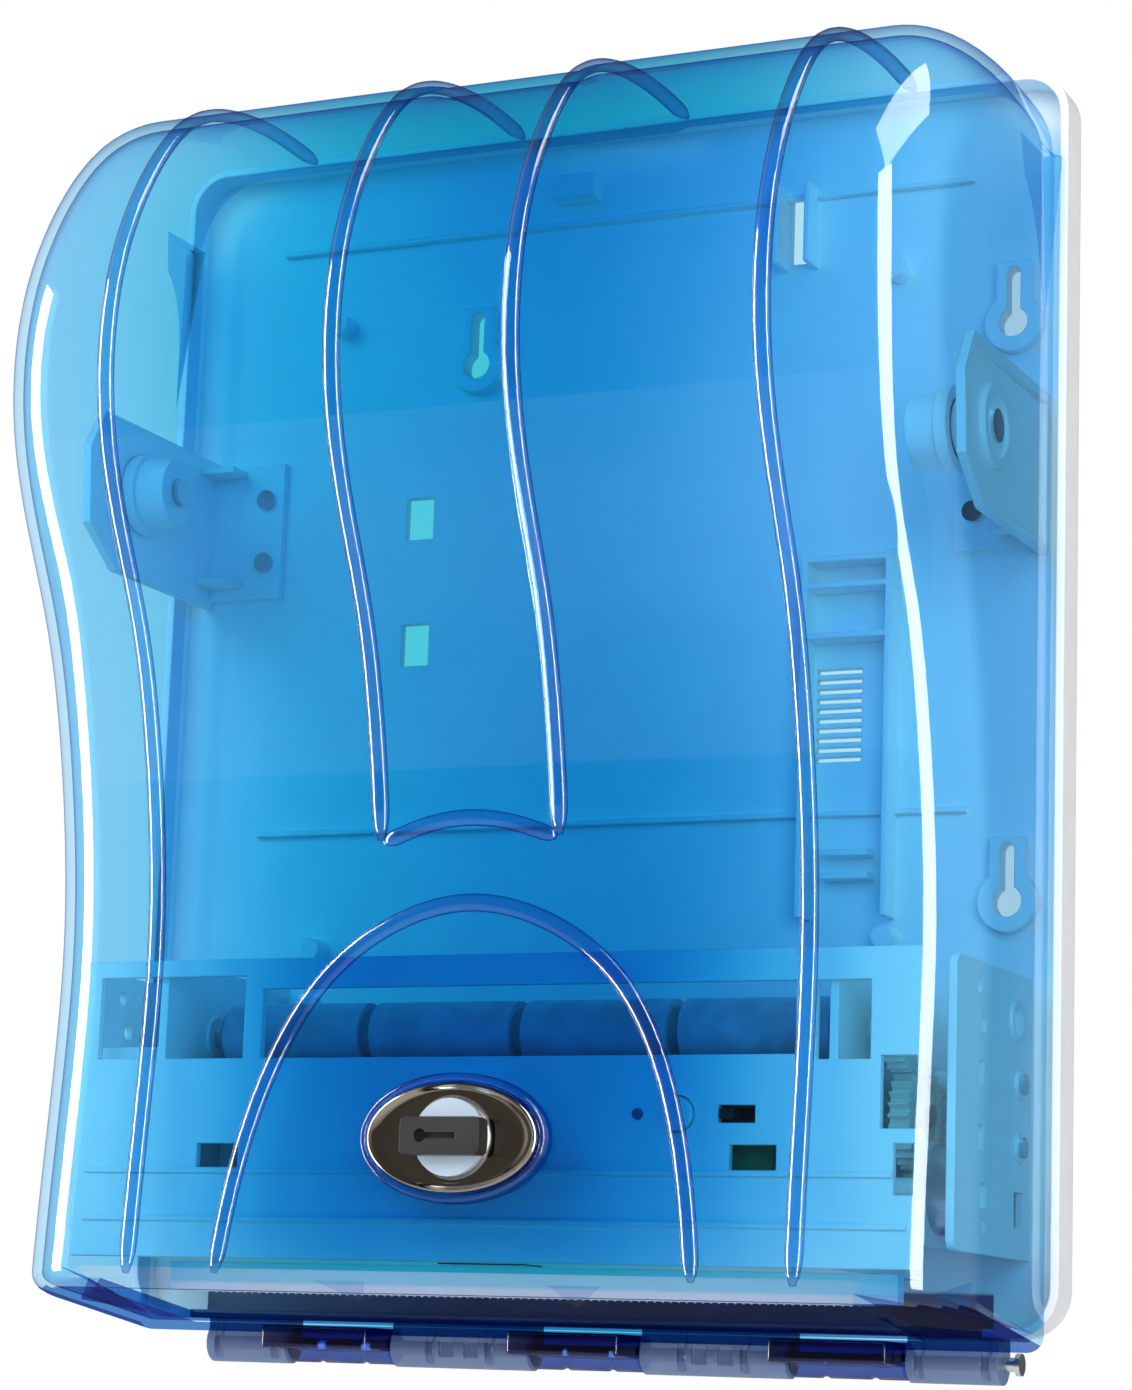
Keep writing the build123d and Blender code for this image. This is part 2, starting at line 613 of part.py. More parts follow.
with BuildPart() as idler_gear:
    with BuildSketch(Plane.YZ.offset(gear_x0)):
        with Locations((idler_y, idler_z)):
            Polygon(*gear_points(n_idler, gear_m, ph_idler), align=None)
    extrude(amount=gear_x1 - gear_x0)
    for sx0, sx1 in ((gear_x0 - 0.1, gear_x0 + 1.5), (gear_x1 - 1.5, gear_x1 + 0.1)):
        rod_x(sx0, sx1, idler_y, idler_z, r_idler - 3.0, mode=Mode.SUBTRACT)
    rod_x(gear_x0 - 0.5, gear_x1 + 0.5, idler_y, idler_z, 4.0)
    rod_x(gear_x0 - 2, gear_x1 + 2, idler_y, idler_z, idler_pin_r + run_fit, mode=Mode.SUBTRACT)
save(idler_gear, "idler_gear")

with BuildPart() as idler_pin:
    rod_x(pw + ch_wall, gear_x1 + 1.2, idler_y, idler_z, idler_pin_r)
    rod_x(pw + ch_wall, gear_x0 - 1.0, idler_y, idler_z, idler_pin_r + 1.6)
    rod_x(gear_x1 + 1.0, gear_x1 + 2.0, idler_y, idler_z, idler_pin_r + 1.2)
save(idler_pin, "idler_pin")

with BuildPart() as motor_pinion:
    with BuildSketch(Plane.YZ.offset(gear_x0)):
        with Locations((pinion_y, pinion_z)):
            Polygon(*gear_points(n_pinion, gear_m, ph_pinion), align=None)
    extrude(amount=gear_x1 - gear_x0)
    rod_x(gear_x0 - 1, gear_x1 + 1, pinion_y, pinion_z, motor_shaft_r, mode=Mode.SUBTRACT)
save(motor_pinion, "motor_pinion")

motor_x0 = gear_x1 + 3.0
with BuildPart() as motor_shaft:
    rod_x(gear_x0, motor_x0 + 4.0, pinion_y, pinion_z, motor_shaft_r)
save(motor_shaft, "motor_shaft")

with BuildPart() as gear_motor:
    rod_x(motor_x0, ch_half - 0.5, pinion_y, pinion_z, 13.0)
    rod_x(motor_x0 - 1.0, motor_x0, pinion_y, pinion_z, 4.0)
    rod_x(motor_x0 - 2, motor_x0 + 4.2, pinion_y, pinion_z, motor_shaft_r + run_fit, mode=Mode.SUBTRACT)
save(gear_motor, "gear_motor")

post_low = pinion_z - 13.0
post_back = pinion_y - 15.5
post_at = ((post_back, post_low), (post_back, pinion_z), (pinion_y + 10.5, post_low))
with BuildPart() as motor_bracket:
    block(motor_x0 - 1.4, motor_x0, pinion_y - 18.5, pinion_y + 13.4, pinion_z - 16, pinion_z + 13.5)
    for py, pz in post_at:
        rod_x(pw + ch_wall, motor_x0 - 1.4, py, pz, 2.5)
    rod_x(motor_x0 - 3, motor_x0 + 1, pinion_y, pinion_z, 4.0, mode=Mode.SUBTRACT)
    rod_x(motor_x0 - 3, motor_x0 + 1, idler_y, idler_z, 6.0, mode=Mode.SUBTRACT)
save(motor_bracket, "motor_bracket")

# Battery compartment on the left: box, cells, contacts and sliding lid
bx0 = -(ch_half - 0.2)
bx1 = -(pw + ch_wall + 0.2)
bt = 0.9
by0 = fy(-54.7)
by1 = fy(-26.0)
bz0 = fz(20.0)
bz1 = fz(74.0)
cell_r = 6.4
cell_h = 50.0
cell_x = (bx0 + bt + cell_r + 0.2, bx1 - bt - cell_r - 0.2)
cell_y = (by0 + cell_r + 0.6, by1 - bt - cell_r - 0.2)
with BuildPart() as battery_box:
    block(bx0, bx1, by0, by1, bz0, bz1)
    block(bx0 + bt, bx1 - bt, by0 - 1, by1 - bt, bz0 + bt, bz1 - bt, mode=Mode.SUBTRACT)
    block((bx0 + bx1) / 2 - 0.4, (bx0 + bx1) / 2 + 0.4, fy(-38), by1, bz0, bz1)
save(battery_box, "battery_box")

cell_low = bz0 + bt + 1.2
with BuildPart() as batteries:
    for cx in cell_x:
        for cy in cell_y:
            rod_z(cell_low, cell_low + cell_h - 1.0, cx, cy, cell_r)
            rod_z(cell_low + cell_h - 1.0, cell_low + cell_h, cx, cy, 2.6)
save(batteries, "batteries")

with BuildPart() as battery_contacts:
    for cx in cell_x:
        for cy in cell_y:
            block(cx - 4, cx + 4, cy - 4, cy + 4, bz0 + bt, cell_low)
            block(cx - 4, cx + 4, cy - 4, cy + 4, cell_low + cell_h, bz1 - bt)
save(battery_contacts, "battery_contacts")

lid_y1 = by0 - 0.3
with BuildPart() as battery_lid:
    block(bx0 + 2.2, bx1 - 0.6, lid_y1 - 1.6, lid_y1, bz0 - 1, bz1 + 1)
    for k in range(4):
        z = bz1 - 6 - 3 * k
        block(bx0 + 9, bx1 - 8, lid_y1 - 2.4, lid_y1 - 1.5, z - 0.7, z + 0.7)
save(battery_lid, "battery_lid")

# Control board, its parts and the hand sensor
with BuildPart() as circuit_board:
    block(-66, 88, board_y, board_y + 1.6, fz(28), fz(64))
save(circuit_board, "circuit_board")

with BuildPart() as board_parts:
    top = board_y + 1.6
    block(-40, -22, top, top + 2.2, fz(40), fz(52))
    block(-8, 6, top, top + 2.0, fz(38), fz(46))
    rod_y(top, top + 8, -52, fz(55), 4.0)
    rod_y(top, top + 8, -52, fz(40), 4.0)
    block(16, 30, top, top + 6, fz(33), fz(43))
    block(36, 44, top, top + 5, fz(30), fz(36))
    for k in range(4):
        block(14 + 6 * k, 17 + 6 * k, top, top + 1.0, fz(54), fz(56))
save(board_parts, "board_parts")

with BuildPart() as board_screws:
    for px, pz in board_at:
        rod_y(board_y + 1.6, board_y + 3.2, px, fz(pz), 2.6)
save(board_screws, "board_screws")

with BuildPart() as sensor_housing:
    block(-17, 17, fy(-61.5), fy(-46.5), ch_low + 2.0, ch_low + 12.0)
    block(-22, 22, ch_front + ch_wall, fy(-61.4), ch_low + 2.0, ch_low + 9.0)
    for px in (-8.0, 8.0):
        rod_z(ch_low + 1, ch_low + 9.0, px, fy(-54), 2.6, mode=Mode.SUBTRACT)
save(sensor_housing, "sensor_housing")

with BuildPart() as sensor_leds:
    for px in (-8.0, 8.0):
        rod_z(ch_low + 2.6, ch_low + 9.0, px, fy(-54), 2.5)
save(sensor_leds, "sensor_leds")

with BuildPart() as sensor_window:
    block(-13.8, 13.8, fy(-59.8), fy(-48.2), ch_low - 0.4, ch_low + 2.0)
save(sensor_window, "sensor_window")

# Front guide, tear bar and exit lip
guide_y0 = fy(-29.0)
guide_y1 = fy(-27.5)
with BuildPart() as paper_guide:
    block(-pw + 0.2, pw - 0.2, guide_y0, guide_y1, ch_low - 2.0, fz(66))
    block(-pw + 0.2, pw - 0.2, fy(-36), guide_y1, fz(64.8), fz(66))
    for rx in (-80.0, -40.0, 0.0, 40.0, 80.0):
        block(rx - 0.8, rx + 0.8, fy(-36), guide_y0, ch_low + 2.0, fz(66))
save(paper_guide, "paper_guide")

tooth = 2.5
lip_low = fz(3.3)
n_teeth = int(2 * (pw - 1.0) / tooth)
tear_half = n_teeth * tooth / 2
tear_y = guide_y0 - 1.0
edge = [(-tear_half, ch_low + 1.8)]
for k in range(n_teeth):
    x = -tear_half + k * tooth
    edge.append((x, lip_low + 1.2))
    edge.append((x + tooth / 2, lip_low - 0.4))
edge.append((tear_half, lip_low + 1.2))
edge.append((tear_half, ch_low + 1.8))
with BuildPart() as tear_bar:
    with BuildSketch(Plane.XZ.offset(-guide_y0)):
        Polygon(*edge, align=None)
    extrude(amount=1.0)
save(tear_bar, "tear_bar")

with BuildPart() as exit_lip:
    block(-pw - 11, pw + 11, tear_y - 5.0, tear_y, lip_low, ch_low)
    block(-pw - 9, pw + 9, tear_y - 3.8, tear_y + 0.01, lip_low + 1.2, ch_low + 0.1, mode=Mode.SUBTRACT)
save(exit_lip, "exit_lip")

# Feed button with its spring, mode switch and status lamp
btn_x = 62.0
btn_z = fz(54)
spring_r = 3.2
wire_r = 0.25
with BuildPart() as feed_button:
    rod_y(ch_front - 2.0, ch_front + ch_wall + 0.5, btn_x, btn_z, 4.9)
    rod_y(ch_front + ch_wall + 0.4, ch_front + ch_wall + 1.2, btn_x, btn_z, 6.2)
save(feed_button, "feed_button")

button_rear = ch_front + ch_wall + 1.2
coil_len = board_y - button_rear
feed_start = (btn_x, button_rear + wire_r, btn_z)
feed_spring_len = coil_len - 2 * wire_r
feed_spring = coil(feed_start, (0, 1, 0), feed_spring_len, 3, spring_r, wire_r)
save(feed_spring, "feed_spring")

sw_x = 80.0
with BuildPart() as mode_switch:
    block(sw_x - 7, sw_x + 7, ch_front + ch_wall, board_y, btn_z - 4, btn_z + 4)
    block(sw_x - 5.2, sw_x + 5.2, ch_front + ch_wall - 1, ch_front + ch_wall + 3, btn_z - 1.6, btn_z + 1.6,
          mode=Mode.SUBTRACT)
save(mode_switch, "mode_switch")

with BuildPart() as mode_slider:
    block(sw_x - 4.8, sw_x - 0.8, ch_front - 1.0, ch_front + ch_wall + 2.6, btn_z - 1.4, btn_z + 1.4)
save(mode_slider, "mode_slider")

with BuildPart() as status_lamp:
    rod_y(ch_front - 0.6, ch_front + ch_wall, 50, btn_z, 1.5)
    rod_y(ch_front + ch_wall, board_y, 50, btn_z, 1.9)
save(status_lamp, "status_lamp")

# Roll holder: two arms, pins, hubs, sprung sleeve
arm_in = arm_out - arm_t
arm_pts = [(10.5, 226), (-50, 226), (-67, 238), (-69, 262), (-61, 275), (10.5, 275)]
arm_foot_x = 26.0
for name, sx in (("roll_arm_right", 1), ("roll_arm_left", -1)):
    with BuildPart() as arm:
        with BuildSketch(Plane.YZ.offset(sx * arm_in)):
            Polygon(*[(fy(y), fz(z)) for y, z in arm_pts], align=None)
        extrude(amount=sx * arm_t)
        with BuildSketch(Plane.YZ.offset(sx * (arm_in + 1.2))):
            arm_shape = ((8, 229), (-49, 229), (-64, 239.5), (-66, 261), (-59, 272), (8, 272))
            Polygon(*[(fy(y), fz(z)) for y, z in arm_shape],
                    align=None)
        extrude(amount=sx * arm_t, mode=Mode.SUBTRACT)
        rod_x(sx * arm_in, sx * arm_out, roll_y, roll_z, 12.5)
        rod_x(sx * (arm_out - 1.0), sx * (arm_out + 1), roll_y, roll_z, 9.5, mode=Mode.SUBTRACT)
        block(sx * (arm_in - arm_foot_x), sx * arm_in, ch_rear - 2.5, ch_rear, fz(228), fz(273))
        for rz in (232.0, 269.0):
            block(sx * (arm_in - 12), sx * arm_in, ch_rear - 12, ch_rear, fz(rz), fz(rz + 2))
        rod_x(sx * (arm_in - 1), sx * (arm_out + 1), roll_y, roll_z, 3.0, mode=Mode.SUBTRACT)
        for rz in (240.0, 261.0):
            rod_y(ch_rear - 4, ch_rear + 1, sx * (arm_in - 20), fz(rz), 1.5, mode=Mode.SUBTRACT)
    save(arm, name)

with BuildPart() as arm_screws:
    for sx in (-1, 1):
        for rz in (240.0, 261.0):
            rod_y(ch_rear - 2.5, ch_rear + 2.0, sx * (arm_in - 20), fz(rz), 1.5)
            rod_y(ch_rear - 4.3, ch_rear - 2.5, sx * (arm_in - 20), fz(rz), 3.2)
save(arm_screws, "arm_screws")

with BuildPart() as arm_holes:
    for sx in (-1, 1):
        for rz in (240.0, 261.0):
            rod_y(ch_rear - 1, ch_rear + 2.0, sx * (arm_in - 20), fz(rz), 1.5)
back_tray.part = back_tray.part - arm_holes.part
save(back_tray, "back_tray")

hub_len = 14.0
spring_gap = 7.0
right_end = arm_in - spring_gap - 2.0
left_end = arm_in - 0.6
tips = {1: right_end - hub_len, -1: left_end - hub_len}
for name, sx in (("hub_pin_right", 1), ("hub_pin_left", -1)):
    hub_tip = tips[sx]
    with BuildPart() as pin:
        rod_x(sx * hub_tip, sx * (arm_out - 1.0), roll_y, roll_z, 3.0)
        rod_x(sx * (arm_out - 1.0), sx * arm_out, roll_y, roll_z, 5.0)
        rod_x(sx * (hub_tip - 1.5), sx * hub_tip, roll_y, roll_z, 4.5)
    save(pin, name)

hub_big = 11.4
hub_small = 10.4
for name, sx, end in (("roll_hub_right", 1, right_end), ("roll_hub_left", -1, left_end)):
    hub_tip = tips[sx]
    bore = 5.0 + run_fit if sx > 0 else 3.0 + run_fit
    with BuildPart() as hub:
        with BuildSketch(Plane.YZ.offset(sx * (hub_tip + 0.6))):
            with Locations((roll_y, roll_z)):
                Circle(hub_small)
        with BuildSketch(Plane.YZ.offset(sx * (end - 4.0))):
            with Locations((roll_y, roll_z)):
                Circle(hub_big)
        loft()
        rod_x(sx * (end - 4.0), sx * end, roll_y, roll_z, hub_big + 1.4)
        rod_x(sx * (hub_tip + 3.0), sx * (end + 1), roll_y, roll_z, hub_small - 1.4, mode=Mode.SUBTRACT)
        rod_x(sx * (hub_tip + 0.6), sx * end, roll_y, roll_z, 6.6)
        for k in range(3):
            with Locations(((hub_tip + end) * sx / 2, roll_y, roll_z)):
                Box(hub_len - 6, 2 * hub_small - 1, 1.4, rotation=(60 * k, 0, 0))
        rod_x(sx * (hub_tip - 1), sx * (end + 1), roll_y, roll_z, bore, mode=Mode.SUBTRACT)
    save(hub, name)

sleeve_end = arm_in - spring_gap
hub_tip = tips[1]
with BuildPart() as hub_sleeve:
    rod_x(hub_tip + 0.4, sleeve_end - 1.6, roll_y, roll_z, 5.0)
    rod_x(sleeve_end - 1.6, sleeve_end, roll_y, roll_z, 9.0)
    rod_x(hub_tip - 1, sleeve_end + 1, roll_y, roll_z, 3.0 + run_fit, mode=Mode.SUBTRACT)
save(hub_sleeve, "hub_sleeve")

hub_wire_r = 0.4
hub_spring_start = (sleeve_end + hub_wire_r, roll_y, roll_z)
hub_spring_len = spring_gap - 2 * hub_wire_r
hub_spring = coil(hub_spring_start, (1, 0, 0), hub_spring_len, 4, 6.0, hub_wire_r)
save(hub_spring, "hub_spring")

with BuildPart() as pinch_springs:
    for sx in (-1, 1):
        block(sx * (pw - 6.0), sx * (pw - 1.9), fy(-11.4), fy(-10.8), fz(60), fz(91))
        block(sx * (pw - 6.0), sx * (pw - 1.9), fy(-16.0), fy(-10.8), fz(60), fz(63))
save(pinch_springs, "pinch_springs")
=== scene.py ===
import math
import bpy
import bmesh
import numpy as np
from mathutils import Matrix, Vector
from mathutils.geometry import tessellate_polygon


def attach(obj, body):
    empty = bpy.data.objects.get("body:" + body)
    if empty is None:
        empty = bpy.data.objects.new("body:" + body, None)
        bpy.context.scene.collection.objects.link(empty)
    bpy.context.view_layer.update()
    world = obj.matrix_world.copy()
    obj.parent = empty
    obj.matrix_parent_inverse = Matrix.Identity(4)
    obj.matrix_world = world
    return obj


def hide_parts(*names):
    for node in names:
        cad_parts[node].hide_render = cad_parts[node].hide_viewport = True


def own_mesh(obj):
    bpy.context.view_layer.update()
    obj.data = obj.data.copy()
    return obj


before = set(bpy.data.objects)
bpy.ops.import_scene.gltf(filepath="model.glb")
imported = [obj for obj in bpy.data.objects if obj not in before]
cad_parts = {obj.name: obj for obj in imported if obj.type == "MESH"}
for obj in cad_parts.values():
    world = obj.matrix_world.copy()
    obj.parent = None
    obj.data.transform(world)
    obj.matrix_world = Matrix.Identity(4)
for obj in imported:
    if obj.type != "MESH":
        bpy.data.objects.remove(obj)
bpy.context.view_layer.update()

MM = 0.001
RIM = -13.0
FOOT = -185.0


def P(x, y, z):
    """Point from millimetres: x, depth from the rim (negative is forward), height above the foot."""
    return Vector((x * MM, (RIM + y) * MM, (FOOT + z) * MM))


# Camera at the photograph's viewing angle
cam_data = bpy.data.cameras.new("camera")
cam = bpy.data.objects.new("camera", cam_data)
bpy.context.scene.collection.objects.link(cam)
cam_data.sensor_fit = "HORIZONTAL"
cam_data.sensor_width = 36.0
cam_data.lens = 3660.0 / 1132.0 * 36.0
cam_data.clip_start = 0.05
cam_data.clip_end = 50.0
right = Vector((0.90851722, 0.41646122, 0.03400748))
up = Vector((0.04807534, -0.18502931, 0.98155637))
back = right.cross(up)
pos = Vector((0.463388, -1.022510, -0.209455))
cam.matrix_world = Matrix((
    (right.x, up.x, back.x, pos.x),
    (right.y, up.y, back.y, pos.y),
    (right.z, up.z, back.z, pos.z),
    (0, 0, 0, 1),
))
bpy.context.scene.camera = cam

# Materials


def new_mat(name):
    m = bpy.data.materials.new(name)
    m.use_nodes = True
    m.node_tree.nodes.clear()
    return m, m.node_tree


def plug(tree, socket, value):
    """Feed a socket from another socket, from a colour or from a plain number."""
    if isinstance(value, bpy.types.NodeSocket):
        tree.links.new(value, socket)
    elif isinstance(value, tuple) and len(socket.default_value) == 4:
        socket.default_value = (*value, 1)
    else:
        socket.default_value = value


def add_node(tree, kind, **inputs):
    """New shader node; each keyword is one of its inputs, with _ for a space."""
    nd = tree.nodes.new("ShaderNode" + kind)
    for key, value in inputs.items():
        plug(tree, nd.inputs[key.replace("_", " ")], value)
    return nd


def math_node(tree, op, *values):
    nd = tree.nodes.new("ShaderNodeMath")
    nd.operation = op
    for socket, value in zip(nd.inputs, values):
        plug(tree, socket, value)
    return nd.outputs[0]


def mix_colour(tree, factor, a, b):
    nd = tree.nodes.new("ShaderNodeMix")
    nd.data_type = "RGBA"
    for key, value in (("Factor", factor), ("A", a), ("B", b)):
        plug(tree, nd.inputs[key], value)
    return nd.outputs["Result"]


def mix_shader(tree, factor, a, b):
    nd = tree.nodes.new("ShaderNodeMixShader")
    for socket, value in zip(nd.inputs, (factor, a, b)):
        plug(tree, socket, value)
    return nd.outputs[0]


def smooth_range(tree, value, low, high):
    """0 below low, 1 above high, eased between."""
    nd = add_node(tree, "MapRange", Value=value, From_Min=low, From_Max=high)
    nd.interpolation_type = "SMOOTHSTEP"
    return nd.outputs[0]


def principled(name, color, rough, metallic=0.0, var=0.04, rough_var=0.06, scale=60.0, bump=0.02,
               bump_scale=900.0, bevel=0.0, coat=0.0, spec=0.5, stretch=(1, 1, 1)):
    """Principled surface whose colour, roughness and normal carry fine procedural variation."""
    m, tree = new_mat(name)
    coords = tree.nodes.new("ShaderNodeTexCoord").outputs["Object"]
    place = add_node(tree, "Mapping", Vector=coords, Scale=stretch).outputs[0]
    cloud = add_node(tree, "TexNoise", Vector=place, Scale=scale, Detail=4.0).outputs[0]
    ramp = add_node(tree, "ValToRGB", Fac=cloud)
    low, high = ramp.color_ramp.elements
    low.position = 0.35
    low.color = (*[max(0.0, c * (1 - var)) for c in color], 1)
    high.position = 0.65
    high.color = (*[min(1.0, c * (1 + var)) for c in color], 1)
    uneven = add_node(tree, "MapRange", Value=cloud, To_Min=max(0.02, rough - rough_var),
                      To_Max=min(1.0, rough + rough_var))
    fine = add_node(tree, "TexNoise", Vector=place, Scale=bump_scale, Detail=2.0)
    relief = add_node(tree, "Bump", Strength=bump, Distance=0.0004, Height=fine.outputs[0])
    if bevel:
        soft_edge = add_node(tree, "Bevel", Radius=bevel)
        soft_edge.samples = 4
        plug(tree, relief.inputs["Normal"], soft_edge.outputs[0])
    surface = add_node(tree, "BsdfPrincipled", Metallic=metallic, Specular_IOR_Level=spec, Coat_Weight=coat,
                       Base_Color=ramp.outputs[0], Roughness=uneven.outputs[0], Normal=relief.outputs[0])
    add_node(tree, "OutputMaterial", Surface=surface.outputs[0])
    return m


def distance_from_middle(tree, coords):
    """How far a point is from x = 0, with a slight wobble so that no straight line shows."""
    xyz = add_node(tree, "SeparateXYZ", Vector=coords)
    cloud = add_node(tree, "TexNoise", Vector=coords, Scale=9.0, Detail=2.0)
    wobble = math_node(tree, "MULTIPLY_ADD", cloud.outputs[0], 0.03, -0.015)
    return math_node(tree, "ADD", math_node(tree, "ABSOLUTE", xyz.outputs[0]), wobble)


def clear_blue(name, seen_mid, seen_side, edge_tint, mid_light, side_light, edge_pow=5.0,
               base_gloss=0.03, grazing_gloss=0.6, max_gloss=0.25, rough=0.035):
    """Clear tinted plastic, per face: seen tints straight on, edge_tint at grazing angles.

    Each pair is for the middle, near x = 0, and for the sides, the middle deeper as painted shade and the
    sides lighter as painted light; the light pair tints what falls inside.
    """
    m, tree = new_mat(name)
    coords = tree.nodes.new("ShaderNodeTexCoord").outputs["Object"]
    # Painted shade and light: tints go from the deep middle pair near x = 0 to the lighter side pair
    side_lit_share = smooth_range(tree, distance_from_middle(tree, coords), 0.028, 0.134)
    facing = add_node(tree, "LayerWeight", Blend=0.5).outputs["Facing"]
    straight = mix_colour(tree, side_lit_share, seen_mid, seen_side)
    seen = mix_colour(tree, math_node(tree, "POWER", facing, edge_pow), straight, edge_tint)
    light = mix_colour(tree, side_lit_share, mid_light, side_light)
    path = tree.nodes.new("ShaderNodeLightPath")
    tint = mix_colour(tree, path.outputs["Is Camera Ray"], light, seen)
    clear = add_node(tree, "BsdfTransparent", Color=tint)
    grazing = math_node(tree, "POWER", facing, 4.0)
    gloss = math_node(tree, "MULTIPLY_ADD", grazing, grazing_gloss, base_gloss)
    gloss = math_node(tree, "MINIMUM", gloss, max_gloss)
    inner = tree.nodes.new("ShaderNodeNewGeometry").outputs["Backfacing"]
    gloss = math_node(tree, "MULTIPLY", gloss, math_node(tree, "MULTIPLY_ADD", inner, -0.9, 1.0))
    ripple = add_node(tree, "TexNoise", Vector=coords, Scale=35.0)
    relief = add_node(tree, "Bump", Strength=0.05, Distance=0.0006, Height=ripple.outputs[0])
    shine = add_node(tree, "BsdfGlossy", Roughness=rough, Color=(1, 1, 1), Normal=relief.outputs[0])
    both = mix_shader(tree, gloss, clear.outputs[0], shine.outputs[0])
    add_node(tree, "OutputMaterial", Surface=both)
    return m


# Tints of the clear plastics, as shares of red, green and blue let through by one face; the middle tints are
# deeper and the side tints lighter, as painted shade in the middle and painted light at the sides
SEEN_MID = (0.24, 0.76, 0.85)
SEEN_SIDE = (0.69, 0.89, 0.98)
EDGE = (0.04, 0.27, 0.66)
MID_LIGHT = (0.01, 0.43, 0.76)
SIDE_LIGHT = (0.52, 0.82, 0.94)
# Darker tint for the cover's underside: painted shade on the faces turned down
UNDER_SHADE = (0.16, 0.22, 0.46)
BEAD = (0.56, 0.78, 0.94)
BEAD_LIGHT = (0.5, 0.75, 0.93)
HINGE = (0.17, 0.27, 0.58)
HINGE_LIGHT = (0.25, 0.42, 0.75)
# Nearly clear tint for the middle of the cover's front foot: a painted highlight strip
RIM_HIGHLIGHT_TINT = (0.86, 0.90, 0.96)
M_BLUE = clear_blue("clear_blue", SEEN_MID, SEEN_SIDE, EDGE, MID_LIGHT, SIDE_LIGHT, edge_pow=6.5)
M_UNDER_SHADE = clear_blue("clear_blue_under_shade", UNDER_SHADE, UNDER_SHADE, EDGE, MID_LIGHT, MID_LIGHT, base_gloss=0.01,
                     grazing_gloss=0.03, max_gloss=0.03)
M_BEAD = clear_blue("clear_blue_bead", BEAD, BEAD, (0.01, 0.05, 0.28), BEAD_LIGHT, BEAD_LIGHT,
                    edge_pow=2.6, base_gloss=0.045, grazing_gloss=0.5)
M_HINGE_BLUE = clear_blue("clear_blue_hinge", HINGE, HINGE, (0.01, 0.02, 0.1), HINGE_LIGHT, HINGE_LIGHT,
                          edge_pow=2.5, base_gloss=0.04, grazing_gloss=0.4)
M_RIM_HIGHLIGHT = clear_blue("clear_blue_foot_highlight", RIM_HIGHLIGHT_TINT, RIM_HIGHLIGHT_TINT, EDGE, RIM_HIGHLIGHT_TINT, RIM_HIGHLIGHT_TINT, edge_pow=12.0,
                         base_gloss=0.02, grazing_gloss=0.1)
M_WHITE = principled("white_plastic", (0.90, 0.905, 0.91), 0.32, var=0.015, rough_var=0.05, bump=0.03,
                     bevel=0.0007)
M_TRAY = principled("tray_plastic", (0.91, 0.915, 0.92), 0.38, var=0.012, rough_var=0.05, bump=0.05,
                    bevel=0.001)
M_STEEL = principled("steel", (0.62, 0.63, 0.65), 0.22, metallic=1.0, var=0.05, rough_var=0.08, scale=200,
                     bump=0.02, stretch=(1, 6, 6))
M_TEAR = principled("tear_steel", (0.72, 0.73, 0.76), 0.3, metallic=1.0, var=0.04, rough_var=0.06, scale=120,
                    bump=0.02, stretch=(1, 8, 8))
M_ZINC = principled("zinc_steel", (0.55, 0.56, 0.58), 0.35, metallic=1.0, var=0.1, rough_var=0.1, scale=150,
                    bump=0.04)
M_BRONZE = principled("bronze_plate", (0.30, 0.25, 0.20), 0.12, metallic=1.0, var=0.06, rough_var=0.04,
                      scale=40, bump=0.01)
M_CHROME = principled("chrome", (0.62, 0.75, 0.90), 0.28, metallic=0.35, var=0.02, rough_var=0.03, scale=50,
                      bump=0.005)
M_BLACK = principled("black_plastic", (0.012, 0.014, 0.016), 0.45, var=0.15, rough_var=0.08, scale=80,
                     bump=0.06, bevel=0.0004, spec=0.25)
# Roller sleeves and drive core: partly their own grey, partly painted shade, their colours set to the depth
# of the shaded band across the rollers
M_RUBBER_AND_SHADE = principled("roller_rubber_and_shade", (0.40, 0.49, 0.64), 0.7, var=0.15, rough_var=0.1, scale=100, bump=0.15,
                      bump_scale=1500)
M_GREY = principled("grey_plastic", (0.26, 0.29, 0.33), 0.45, var=0.06, scale=80, bump=0.04)
M_GEAR = principled("gear_plastic", (0.80, 0.79, 0.72), 0.42, var=0.03, scale=80, bump=0.03, bevel=0.0003)
M_BOARD = principled("board_green", (0.04, 0.22, 0.10), 0.35, var=0.12, scale=300, bump=0.06, bump_scale=1200)
M_IR = principled("ir_window", (0.05, 0.008, 0.015), 0.12, var=0.1, scale=60, bump=0.0, coat=0.4)
M_CELL = principled("cell_wrap", (0.10, 0.11, 0.13), 0.3, var=0.05, scale=60, bump=0.01, coat=0.3)
M_LIP = principled("exit_lip", (0.80, 0.82, 0.88), 0.3, var=0.02, scale=60, bump=0.02, bevel=0.0006)


def find_node(m, kind):
    return next(nd for nd in m.node_tree.nodes if nd.type == kind)


def paint_foot_light_and_shade(m, level, colour, half_x=1.0):
    """Painted shade or tinted light on the same plastic below a height, within half_x of the middle."""
    tree = m.node_tree
    base = find_node(m, "BSDF_PRINCIPLED").inputs["Base Color"]
    above = base.links[0].from_socket
    xyz = add_node(tree, "SeparateXYZ", Vector=find_node(m, "TEX_COORD").outputs["Object"])
    high = add_node(tree, "MapRange", Value=xyz.outputs[2], From_Min=level - MM, From_Max=level)
    outside = math_node(tree, "GREATER_THAN", math_node(tree, "ABSOLUTE", xyz.outputs[0]), half_x)
    keep = math_node(tree, "MAXIMUM", high.outputs[0], outside)
    plug(tree, base, mix_colour(tree, keep, colour, above))


